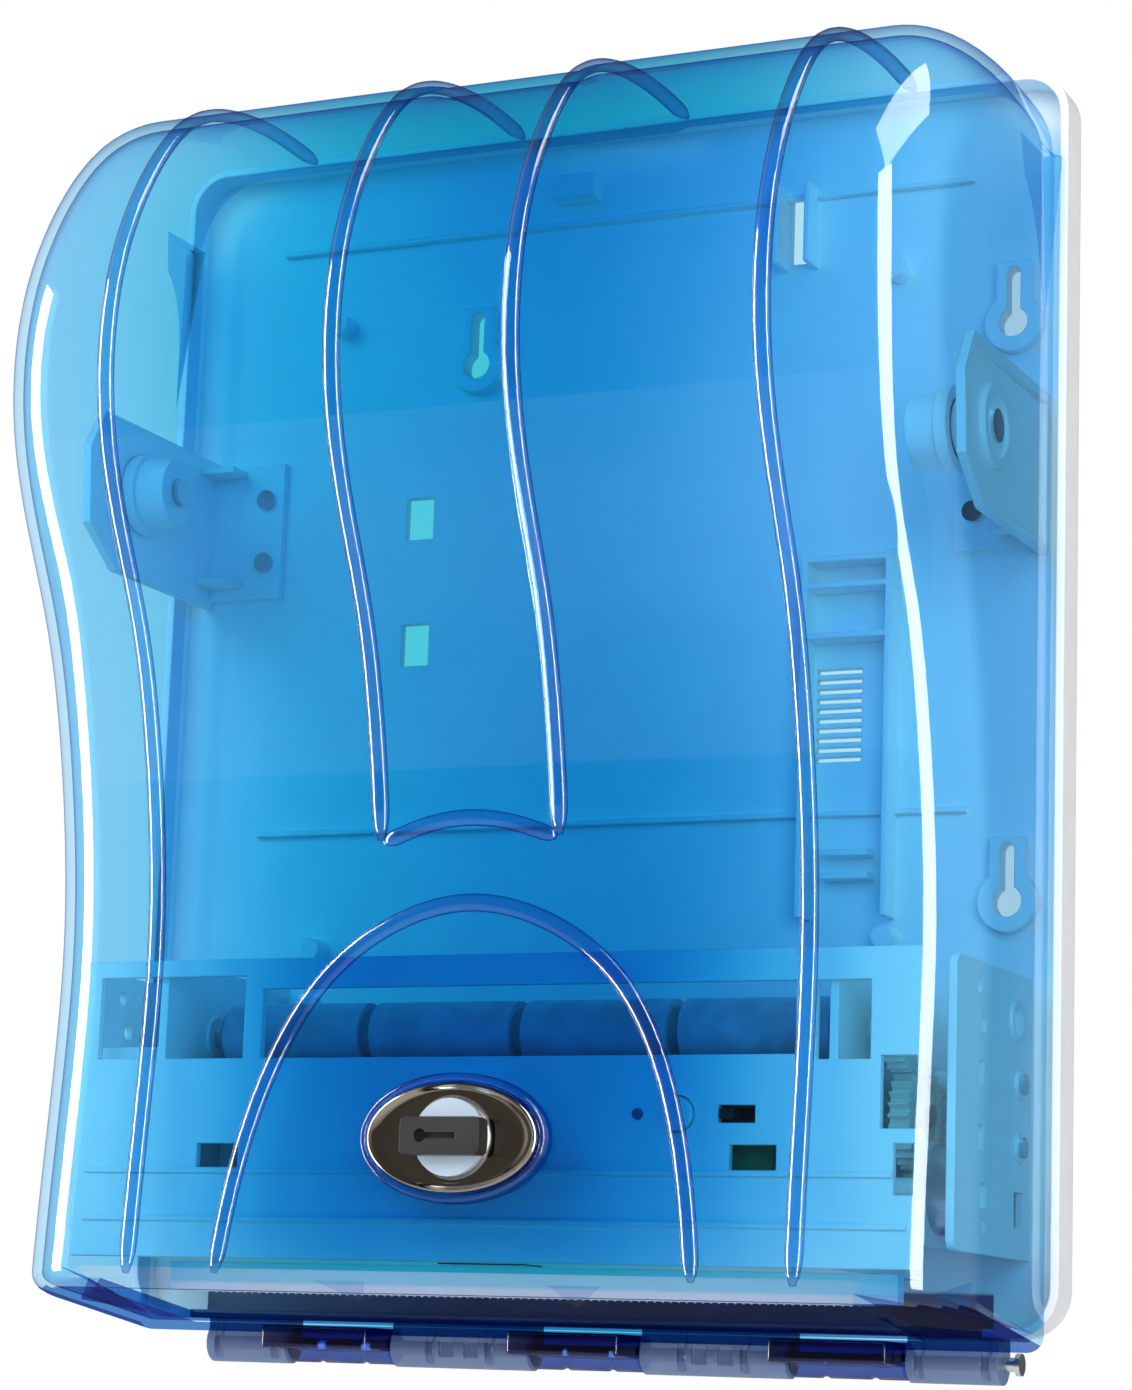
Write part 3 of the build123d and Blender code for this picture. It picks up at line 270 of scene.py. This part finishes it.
# Strips at the foot painted on the pieces themselves: navy painted shade under the chassis and tray, a blue
# band of painted tinted light on the exit lip, and the lip's lowest edge kept near its own white
FOOT_SHADE_NAVY = (0.03, 0.05, 0.17)
LIP_TINTED_LIGHT = (0.35, 0.78, 0.95)
LIP_EDGE = (0.80, 0.84, 0.93)
M_CHASSIS = principled("chassis_plastic", (0.90, 0.905, 0.91), 0.32, var=0.015, rough_var=0.05, bump=0.03,
                       bevel=0.0007)
paint_foot_light_and_shade(M_CHASSIS, (FOOT + 12.4) * MM, FOOT_SHADE_NAVY)
paint_foot_light_and_shade(M_TRAY, (FOOT + 9.0) * MM, FOOT_SHADE_NAVY, half_x=0.130)
paint_foot_light_and_shade(M_LIP, (FOOT + 20.0) * MM, LIP_TINTED_LIGHT)
paint_foot_light_and_shade(M_LIP, (FOOT + 6.4) * MM, LIP_EDGE)


def frosted(name):
    """Clip plastic, partly see-through, its body a dark greyish blue: painted shade on white clips."""
    # Dark greyish blue body colour: painted shade
    m = principled(name, (0.20, 0.27, 0.44), 0.25, var=0.03, rough_var=0.05, scale=90, bump=0.03,
                   bevel=0.0006)
    tree = m.node_tree
    see_through = add_node(tree, "BsdfTransparent", Color=(0.50, 0.60, 0.80))
    body = find_node(m, "BSDF_PRINCIPLED")
    both = mix_shader(tree, 0.6, see_through.outputs[0], body.outputs[0])
    plug(tree, find_node(m, "OUTPUT_MATERIAL").inputs["Surface"], both)
    return m


M_CLIP = frosted("frosted_clip")

# CAD nodes by material
groups = {
    M_TRAY: "back_tray",
    M_CHASSIS: "chassis paper_guide",
    M_WHITE: "side_plate_left side_plate_right roll_arm_left roll_arm_right roll_hub_left roll_hub_right "
             "motor_bracket battery_box battery_lid roller_bushes hub_sleeve lock_keeper feed_button",
    M_LIP: "exit_lip",
    M_CLIP: "hinge_clip_left hinge_clip_mid_left hinge_clip_mid_right hinge_clip_right status_lamp",
    M_STEEL: "hinge_pin drive_shaft pinch_shaft idler_pin motor_shaft hub_pin_left hub_pin_right side_screws "
             "tray_screws arm_screws board_screws cam_screw hub_spring feed_spring pinch_springs "
             "battery_contacts",
    M_TEAR: "tear_bar",
    M_BRONZE: "lock_escutcheon",
    M_CHROME: "lock_base lock_nut",
    M_BLACK: "lock_knob mode_slider mode_switch sensor_housing board_parts",
    M_ZINC: "lock_cam gear_motor",
    M_RUBBER_AND_SHADE: "drive_sleeves pinch_rollers",
    M_GREY: "drive_core",
    M_GEAR: "drive_gear idler_gear motor_pinion",
    M_BOARD: "circuit_board",
    M_IR: "sensor_window sensor_leds",
    M_CELL: "batteries",
}
for mat, names in groups.items():
    for nm in names.split():
        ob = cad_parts[nm]
        ob.data.materials.clear()
        ob.data.materials.append(mat)


def place(name, me, mat, body, slot):
    """Object for a finished mesh, carried by a body."""
    ob = bpy.data.objects.new(name, me)
    bpy.context.scene.collection.objects.link(ob)
    me.materials.append(mat)
    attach(ob, body)
    return ob


def add_mesh(name, verts, faces, mat, body, slot=None):
    me = bpy.data.meshes.new(name)
    me.from_pydata([tuple(v) for v in verts], [], faces)
    me.update()
    bm = bmesh.new()
    bm.from_mesh(me)
    bmesh.ops.remove_doubles(bm, verts=bm.verts, dist=1e-6)
    bmesh.ops.recalc_face_normals(bm, faces=bm.faces)
    bm.to_mesh(me)
    bm.free()
    for p in me.polygons:
        p.use_smooth = True
    return place(name, me, mat, body, slot)


# Side profile of the cover: depth and height of points up the front
WAVE = [
    (-82.8, 3.5), (-80.8, 30.0), (-76.8, 75.0), (-75.7, 105.0), (-78.4, 135.0),
    (-84.5, 165.0), (-94.3, 195.0), (-109.4, 225.0), (-120.3, 255.0), (-122.4, 276.0),
    (-119.2, 301.0), (-107.5, 329.0), (-97.0, 344.5), (-84.0, 357.5), (-70.0, 365.4),
    (-50.0, 370.8), (-25.0, 373.0), (-0.5, 372.0),
]
HALF_W = 148.5
CORNER_R = 27.0
WALL = 3.0
FLOOR_R = 5.0
BAND_X = 28.5
BEAD_X = 104.0
BAND_FOOT = 134.0
FRONT_FOOT = 8.6
REAR_Y = -0.5
HOLE_X = 118
WAVE_ROWS = 150
CORNER_STEPS = 16
FILLET_STEPS = 5


def natural_spline(pts):
    """Natural cubic spline through points, by chord length; returns a function of 0..1."""
    pts = np.array(pts, float)
    t = np.concatenate([[0], np.cumsum(np.hypot(*np.diff(pts, axis=0).T))])
    n = len(t)
    h = np.diff(t)
    a = np.zeros((n, n))
    r = np.zeros((n, 2))
    a[0, 0] = a[-1, -1] = 1
    for i in range(1, n - 1):
        a[i, i - 1] = h[i - 1]
        a[i, i] = 2 * (h[i - 1] + h[i])
        a[i, i + 1] = h[i]
        r[i] = 3 * ((pts[i + 1] - pts[i]) / h[i] - (pts[i] - pts[i - 1]) / h[i - 1])
    c = np.linalg.solve(a, r)

    def at(u):
        s = np.clip(u, 0, 1) * t[-1]
        i = min(int(np.searchsorted(t, s, side="right")) - 1, n - 2)
        i = max(i, 0)
        d = s - t[i]
        b = (pts[i + 1] - pts[i]) / h[i] - h[i] * (2 * c[i] + c[i + 1]) / 3
        e = (c[i + 1] - c[i]) / (3 * h[i])
        p = pts[i] + b * d + c[i] * d * d + e * d ** 3
        tan = b + 2 * c[i] * d + 3 * e * d * d
        return p, tan / np.hypot(*tan)

    return at


wave_at = natural_spline(WAVE)


def wave_at_height(z):
    """Share of the wave's length at which it reaches a height on the front."""
    lo = 0.0
    hi = 0.75
    for _ in range(40):
        mid = (lo + hi) / 2
        if wave_at(mid)[0][1] < z:
            lo = mid
        else:
            hi = mid
    return lo


def floor_z(y):
    """Height of the cover's sloping underside at a depth."""
    return -8.0 - (3.5 + 8.0) / 82.3 * (y + 0.5)


def smoothstep(a, b, v):
    t = min(max((v - a) / (b - a), 0.0), 1.0)
    return t * t * (3 - 2 * t)


def front_drop(x, z):
    """How far the front face is sunk between the centre beads."""
    inside = 1 - smoothstep(BAND_X - 4.0, BAND_X - 0.5, abs(x))
    return 1.2 * inside * smoothstep(BAND_FOOT - 2.0, BAND_FOOT + 2.0, z)


class Shell:
    """Points and faces gathered for one mesh."""

    def __init__(self):
        self.verts = []
        self.faces = []

    def put(self, v):
        self.verts.append(v)
        return len(self.verts) - 1

    def strip(self, a, b):
        """Quads between two rows of point numbers."""
        for j in range(len(a) - 1):
            self.faces.append((a[j], a[j + 1], b[j + 1], b[j]))

    def fill(self, ids, flat_loops):
        """Flat area inside the first loop and outside the others."""
        for tri in tessellate_polygon(flat_loops):
            self.faces.append(tuple(ids[k] for k in tri))


def cover_columns():
    """Columns across the cover: (0, x) on the front, (side, angle) round its corners."""
    xc = HALF_W - CORNER_R
    half = [-xc, -BEAD_X - 6, -BEAD_X, -BEAD_X + 6, -80, -60, -45, -34, -28.5, -27, -25.5, -24, -20, -10, 0]
    xs = half + [-x for x in reversed(half[:-1])]
    arc = [math.pi / 2 * k / CORNER_STEPS for k in range(1, CORNER_STEPS + 1)]
    left = [(-1, a) for a in reversed(arc)]
    right = [(1, a) for a in arc]
    return left + [(0, x) for x in xs] + right


def cover_front(shell):
    """Wave front and top with rounded corners; returns its rows of points from the foot up."""
    u0 = wave_at_height(FRONT_FOOT)
    cols = cover_columns()
    grid = []
    for ri in range(WAVE_ROWS + 1):
        p, t = wave_at(u0 + (1 - u0) * ri / WAVE_ROWS)
        inward = np.array([t[1], -t[0]])
        line = []
        for side, val in cols:
            if side == 0:
                d = front_drop(val, p[1])
                x = val
            else:
                d = CORNER_R * (1 - math.cos(val))
                x = side * (HALF_W - CORNER_R + CORNER_R * math.sin(val))
            q = p + inward * d
            z = floor_z(q[0]) + FLOOR_R if ri == 0 else q[1]
            line.append(shell.put(P(x, q[0], z)))
        grid.append(line)
    for a, b in zip(grid[:-1], grid[1:]):
        shell.strip(a, b)
    return grid


def cover_fillet(shell, outline):
    """Rounded edge from the walls to the floor; returns its lowest row."""
    pts = [shell.verts[i] for i in outline]
    n = len(pts)
    outs = []
    for i in range(n):
        a = pts[max(i - 1, 0)]
        b = pts[min(i + 1, n - 1)]
        d = Vector((b.x - a.x, b.y - a.y, 0)).normalized()
        outs.append(Vector((d.y, -d.x, 0)))
    prev = outline
    for k in range(1, FILLET_STEPS + 1):
        th = math.pi / 2 * k / FILLET_STEPS
        line = []
        for i in range(n):
            v = pts[i] - outs[i] * (FLOOR_R * MM * (1 - math.cos(th)))
            v = Vector((v.x, v.y, pts[i].z - FLOOR_R * MM * math.sin(th)))
            if k == FILLET_STEPS:
                v.z = (FOOT + floor_z(v.y / MM - RIM)) * MM
            line.append(shell.put(v))
        shell.strip(prev, line)
        prev = line
    return prev


def cover_floor(shell, edge):
    """Underside with the opening for the towel and the hand."""
    hole = [(-HOLE_X, -74), (HOLE_X, -74), (HOLE_X, -17), (-HOLE_X, -17)]
    hole_ids = [shell.put(P(x, y, floor_z(y))) for x, y in hole]
    loops = [[shell.verts[i] for i in ring] for ring in (edge, hole_ids)]
    shell.fill(edge + hole_ids, [[Vector((v.x, v.y, 0)) for v in ring] for ring in loops])


def cover_side(shell, sx, column, base):
    """Flat side wall between the front's last column and the rear edge."""
    top_i = max(range(len(column)), key=lambda i: shell.verts[column[i]].z)
    ring = column[:top_i + 1]
    rear_top = shell.put(P(sx * HALF_W, REAR_Y, shell.verts[ring[-1]].z / MM - FOOT))
    poly = ring + [rear_top] + base
    shell.fill(poly, [[Vector((shell.verts[i].y, shell.verts[i].z, 0)) for i in poly]])
    rest = column[top_i:]
    if len(rest) > 1:
        shell.faces.append(tuple(rest + [rear_top]))


def turn_outwards(me):
    """Turn all faces over if the middle of the front faces backwards."""
    bm = bmesh.new()
    bm.from_mesh(me)
    mids = [(f, f.calc_center_median()) for f in bm.faces]
    front = [f for f, c in mids if abs(c.x) < 0.1 and -0.1 < c.z < 0.05]
    if sum(f.normal.y for f in front) > 0:
        bmesh.ops.reverse_faces(bm, faces=bm.faces)
    bm.to_mesh(me)
    bm.free()


def thicken(ob):
    """Give the cover its wall and apply it."""
    so = ob.modifiers.new("wall", "SOLIDIFY")
    so.thickness = WALL * MM
    so.offset = -1
    so.use_even_offset = True
    dg = bpy.context.evaluated_depsgraph_get()
    new = bpy.data.meshes.new_from_object(ob.evaluated_get(dg))
    ob.modifiers.clear()
    ob.data = new


def build_cover():
    shell = Shell()
    grid = cover_front(shell)
    rear = [REAR_Y, -20.0, -40.0]
    left_ids = [shell.put(P(-HALF_W, y, floor_z(y) + FLOOR_R)) for y in rear]
    right_ids = [shell.put(P(HALF_W, y, floor_z(y) + FLOOR_R)) for y in reversed(rear)]
    cover_floor(shell, cover_fillet(shell, left_ids + grid[0] + right_ids))
    cover_side(shell, -1, [row[0] for row in grid], left_ids)
    cover_side(shell, 1, [row[-1] for row in grid], list(reversed(right_ids)))
    ob = add_mesh("cover_shell", shell.verts, shell.faces, M_BLUE, "cover", slot="clear_blue")
    turn_outwards(ob.data)
    thicken(ob)
    me = ob.data
    me.materials.append(M_UNDER_SHADE)
    me.materials.append(M_RIM_HIGHLIGHT)
    for p in me.polygons:
        p.use_smooth = True
        foot_z = p.center.z / MM - FOOT
        # Faces turned down at the foot take the underside tint: painted shade
        if foot_z < 2.5 and abs(p.normal.z) > 0.7:
            p.material_index = 1
        # Front foot faces near the middle take the nearly clear tint: painted highlight
        elif foot_z < FRONT_FOOT and p.center.y < (RIM - 73) * MM and abs(p.center.x) < 0.122:
            p.material_index = 2
    me.set_sharp_from_angle(angle=math.radians(35))
    return ob


cover = build_cover()
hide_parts("front_cover")


def tube(name, path, normals, half_w, rise, sink, mat, body, seg=14):
    """Rounded bead along a path: half width, rise above and sink below the surface."""
    verts, faces = [], []
    n = len(path)
    for i in range(n):
        a, b = path[max(i - 1, 0)], path[min(i + 1, n - 1)]
        t = (b - a).normalized()
        nn = normals[i]
        s = t.cross(nn).normalized()
        taper = 1.0
        end = min(i, n - 1 - i)
        if end < 3:
            taper = (0.35, 0.72, 0.93)[end]
        for k in range(seg):
            ang = 2 * math.pi * k / seg
            h = math.sin(ang)
            off = s * math.cos(ang) * half_w * MM * taper + nn * (h * (rise if h > 0 else sink) * MM * taper)
            verts.append(path[i] + off)
    for i in range(n - 1):
        for k in range(seg):
            k2 = (k + 1) % seg
            faces.append((i * seg + k, i * seg + k2, (i + 1) * seg + k2, (i + 1) * seg + k))
    faces.append(tuple(range(seg)))
    faces.append(tuple((n - 1) * seg + k for k in range(seg)))
    return add_mesh(name, verts, faces, mat, body, slot="clear_blue")


def wave_path(x, u_a, u_b, n):
    """Points and normals up the wave at one x."""
    path = []
    normals = []
    for i in range(n):
        u = u_a + (u_b - u_a) * i / (n - 1)
        p, t = wave_at(u)
        path.append(P(x, p[0], p[1]))
        normals.append(Vector((0, -t[1], t[0])))
    return path, normals


u_low = wave_at_height(6.5)
for x in (-BEAD_X, BEAD_X):
    pa, no = wave_path(x, u_low, 0.997, 150)
    tube("bead_outer_" + ("left" if x < 0 else "right"), pa, no, 2.7, 1.7, 2.4, M_BEAD, "cover")
u_band = wave_at_height(BAND_FOOT - 2)
for x in (-BAND_X, BAND_X):
    pa, no = wave_path(x, u_band, 0.997, 110)
    tube("bead_centre_" + ("left" if x < 0 else "right"), pa, no, 2.7, 1.7, 2.4, M_BEAD, "cover")


def on_front(x, z):
    p, t = wave_at(wave_at_height(z))
    return P(x, p[0], z), Vector((0, -t[1], t[0]))


def front_bead(name, pts, n, half_w, rise, sink):
    at = natural_spline(pts)
    path = []
    normals = []
    for i in range(n):
        q, _t = at(i / (n - 1))
        v, nn = on_front(q[0], q[1])
        path.append(v)
        normals.append(nn)
    return tube(name, path, normals, half_w, rise, sink, M_BEAD, "cover")


ARCH = [
    (-74.5, 7), (-72.4, 24), (-63.8, 61), (-44.6, 94), (-23.0, 108.5), (0, 113.6),
    (23.0, 108.5), (44.6, 94), (63.8, 61), (72.4, 24), (74.5, 7),
]
front_bead("bead_arch", ARCH, 120, 2.6, 1.6, 2.2)
CROSS = [(-27.5, 131.5), (-14, 136), (0, 137.8), (14, 136), (27.5, 131.5)]
front_bead("bead_cross", CROSS, 40, 2.4, 1.5, 2.0)

# Raised oval bezel round the lock
LOCK_X, LOCK_Z = 0.5, 46.0


def ellipse_sweep(name, rings, mat, body, slot, seg=96):
    """Rings of (semi-axis x, semi-axis z, y) joined into a closed ring round the lock centre."""
    verts, faces = [], []
    for a, b, y in rings:
        for k in range(seg):
            t = 2 * math.pi * k / seg
            verts.append(P(LOCK_X + a * math.cos(t), y, LOCK_Z + b * math.sin(t)))
    for r in range(len(rings)):
        r2 = (r + 1) % len(rings)
        for k in range(seg):
            k2 = (k + 1) % seg
            faces.append((r * seg + k, r * seg + k2, r2 * seg + k2, r2 * seg + k))
    ob = add_mesh(name, verts, faces, mat, body, slot=slot)
    ob.data.set_sharp_from_angle(angle=math.radians(50))
    return ob


ellipse_sweep("lock_bezel", [
    (27.1, 15.9, -79.0), (27.1, 15.9, -82.7), (27.4, 16.2, -83.3), (28.1, 16.9, -83.6), (28.9, 17.8, -83.3),
    (29.4, 18.3, -82.4), (29.5, 18.4, -81.0), (29.6, 18.5, -79.0),
], M_BEAD, "cover", "clear_blue")

# Oval plate: dished with a rolled rim and a round seat in its middle
plate = ellipse_sweep("lock_plate", [
    (11.2, 11.2, -81.45), (11.2, 11.2, -82.6), (12.0, 11.8, -82.9), (14.0, 12.4, -82.9), (18.0, 12.9, -82.8),
    (22.0, 13.4, -82.75), (24.4, 13.9, -82.9), (25.4, 14.4, -83.6), (26.0, 14.9, -83.98),
    (26.5, 15.35, -83.8), (26.8, 15.6, -83.2), (26.8, 15.6, -81.45),
], M_BRONZE, "cover", "bronze")
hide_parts("lock_escutcheon")


def cyl_x(name, x0, x1, y, z, rings, mat, body, seg=32, slot=None):
    """Turned piece along X: rings of (share of the length, radius)."""
    verts, faces = [], []
    for s, r in rings:
        for k in range(seg):
            t = 2 * math.pi * k / seg
            verts.append(P(x0 + (x1 - x0) * s, y + r * math.cos(t), z + r * math.sin(t)))
    for i in range(len(rings) - 1):
        for k in range(seg):
            k2 = (k + 1) % seg
            faces.append((i * seg + k, i * seg + k2, (i + 1) * seg + k2, (i + 1) * seg + k))
    faces.append(tuple(range(seg)))
    faces.append(tuple((len(rings) - 1) * seg + k for k in range(seg)))
    ob = add_mesh(name, verts, faces, mat, body, slot=slot)
    ob.data.set_sharp_from_angle(angle=math.radians(40))
    return ob


def soft_box(name, x0, x1, y0, y1, z0, z1, r, mat, body, slot=None):
    """Box with rounded edges of radius r."""
    bm = bmesh.new()
    bmesh.ops.create_cube(bm, size=1.0)
    for v in bm.verts:
        x = (x0 + x1) / 2 + v.co.x * (x1 - x0)
        y = (y0 + y1) / 2 + v.co.y * (y1 - y0)
        z = (z0 + z1) / 2 + v.co.z * (z1 - z0)
        v.co = P(x, y, z)
    bmesh.ops.bevel(bm, geom=list(bm.edges), offset=r * MM, segments=3, profile=0.5, affect="EDGES")
    me = bpy.data.meshes.new(name)
    bm.to_mesh(me)
    bm.free()
    for p in me.polygons:
        p.use_smooth = True
    me.set_sharp_from_angle(angle=math.radians(40))
    return place(name, me, mat, body, slot)


# Hinge row along the lower rear edge: every second knuckle belongs to the cover
HINGE_X = 6.0
HINGE_Y = 5.0
HINGE_Z = -11.3
KNUCKLES = [27.5, 36.0, 46.0, 36.0, 46.0, 36.0, 27.5]
KNUCKLE_GAP = 0.5
BARREL = [
    (0, 4.6), (0.02, 5.4), (0.25, 5.4), (0.27, 4.9), (0.31, 4.9), (0.33, 5.4),
    (0.67, 5.4), (0.69, 4.9), (0.73, 4.9), (0.75, 5.4), (0.98, 5.4), (1, 4.6),
]


def cover_knuckles():
    """Turned barrel and flat arm of each of the cover's knuckles."""
    x0 = HINGE_X - (sum(KNUCKLES) + 6 * KNUCKLE_GAP) / 2
    for i, length in enumerate(KNUCKLES):
        x1 = x0 + length
        if i % 2 == 1:
            k = (i + 1) // 2
            cyl_x(f"cover_barrel_{k}", x0, x1, HINGE_Y, HINGE_Z, BARREL, M_HINGE_BLUE, "cover",
                  slot="clear_blue")
            soft_box(f"cover_hinge_arm_{k}", x0, x1, -16.5, HINGE_Y - 3.5, HINGE_Z - 1.5, -6.0, 0.8,
                     M_HINGE_BLUE, "cover", slot="clear_blue")
        x0 += length + KNUCKLE_GAP


cover_knuckles()


def pressed_spring(node, body):
    """Copy of a coil, carried by a body, in place of the CAD node, which is hidden."""
    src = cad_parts[node]
    ob = bpy.data.objects.new(node + "_coil", src.data.copy())
    bpy.context.scene.collection.objects.link(ob)
    ob.matrix_world = src.matrix_world.copy()
    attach(ob, body)
    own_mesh(ob)
    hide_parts(node)


pressed_spring("hub_spring", "housing")
pressed_spring("feed_spring", "housing")

# Soft studio light


def area(name, az, el, dist, sx, sy, power, glossy_only=False, target=(0, -0.06, 0)):
    """Soft rectangular lamp; az from the front towards the right, el upwards, in degrees."""
    a, e = math.radians(az), math.radians(el)
    d = Vector((math.sin(a) * math.cos(e), -math.cos(a) * math.cos(e), math.sin(e)))
    ld = bpy.data.lights.new(name, "AREA")
    ld.shape = "RECTANGLE"
    ld.size = sx
    ld.size_y = sy
    ld.energy = power
    ob = bpy.data.objects.new(name, ld)
    bpy.context.scene.collection.objects.link(ob)
    ob.location = Vector(target) + d * dist
    ob.rotation_euler = (-d).to_track_quat("-Z", "Y").to_euler()
    ob.visible_camera = False
    ob.visible_diffuse = not glossy_only
    ob.visible_glossy = glossy_only
    ob.visible_transmission = glossy_only
    return ob


area("soft_left", -24, 30, 2.3, 1.3, 1.3, 24)
area("soft_right", 34, 8, 2.3, 1.3, 1.6, 25)
area("strip_right", 54, 10, 1.5, 0.38, 2.4, 68, glossy_only=True)
area("strip_top", 80, 60, 1.5, 0.9, 0.5, 16, glossy_only=True)
area("strip_left", -64, 3, 1.5, 0.40, 1.7, 70, glossy_only=True)


def studio_world():
    """Plain light; white to the camera; reflections see white sides and a dim room in front."""
    world = bpy.data.worlds.new("studio")
    bpy.context.scene.world = world
    world.use_nodes = True
    tree = world.node_tree
    tree.nodes.clear()
    light = add_node(tree, "Background", Color=(0.96, 0.98, 1.0), Strength=0.62)
    white = add_node(tree, "Background", Color=(1, 1, 1), Strength=1.0)
    coords = tree.nodes.new("ShaderNodeTexCoord").outputs["Generated"]
    xyz = add_node(tree, "SeparateXYZ", Vector=coords)
    wide = smooth_range(tree, math_node(tree, "ABSOLUTE", xyz.outputs[0]), 0.5, 0.9)
    room = add_node(tree, "MapRange", Value=wide, To_Min=0.10, To_Max=1.0)
    mirror = add_node(tree, "Background", Color=(1, 1, 1), Strength=room.outputs[0])
    path = tree.nodes.new("ShaderNodeLightPath").outputs
    seen = math_node(tree, "MAXIMUM", path["Is Camera Ray"], path["Is Transmission Ray"])
    unseen = mix_shader(tree, path["Is Glossy Ray"], light.outputs[0], mirror.outputs[0])
    add_node(tree, "OutputWorld", Surface=mix_shader(tree, seen, unseen, white.outputs[0]))


studio_world()

floor_me = bpy.data.meshes.new("floor")
floor_me.from_pydata([(-6, -6, -1.4), (6, -6, -1.4), (6, 6, -1.4), (-6, 6, -1.4)], [], [(0, 1, 2, 3)])
floor = bpy.data.objects.new("floor", floor_me)
bpy.context.scene.collection.objects.link(floor)
floor_me.materials.append(principled("floor_paper", (0.93, 0.93, 0.93), 0.9, var=0.005, scale=4, bump=0.0))

bpy.context.scene.view_settings.view_transform = "Standard"
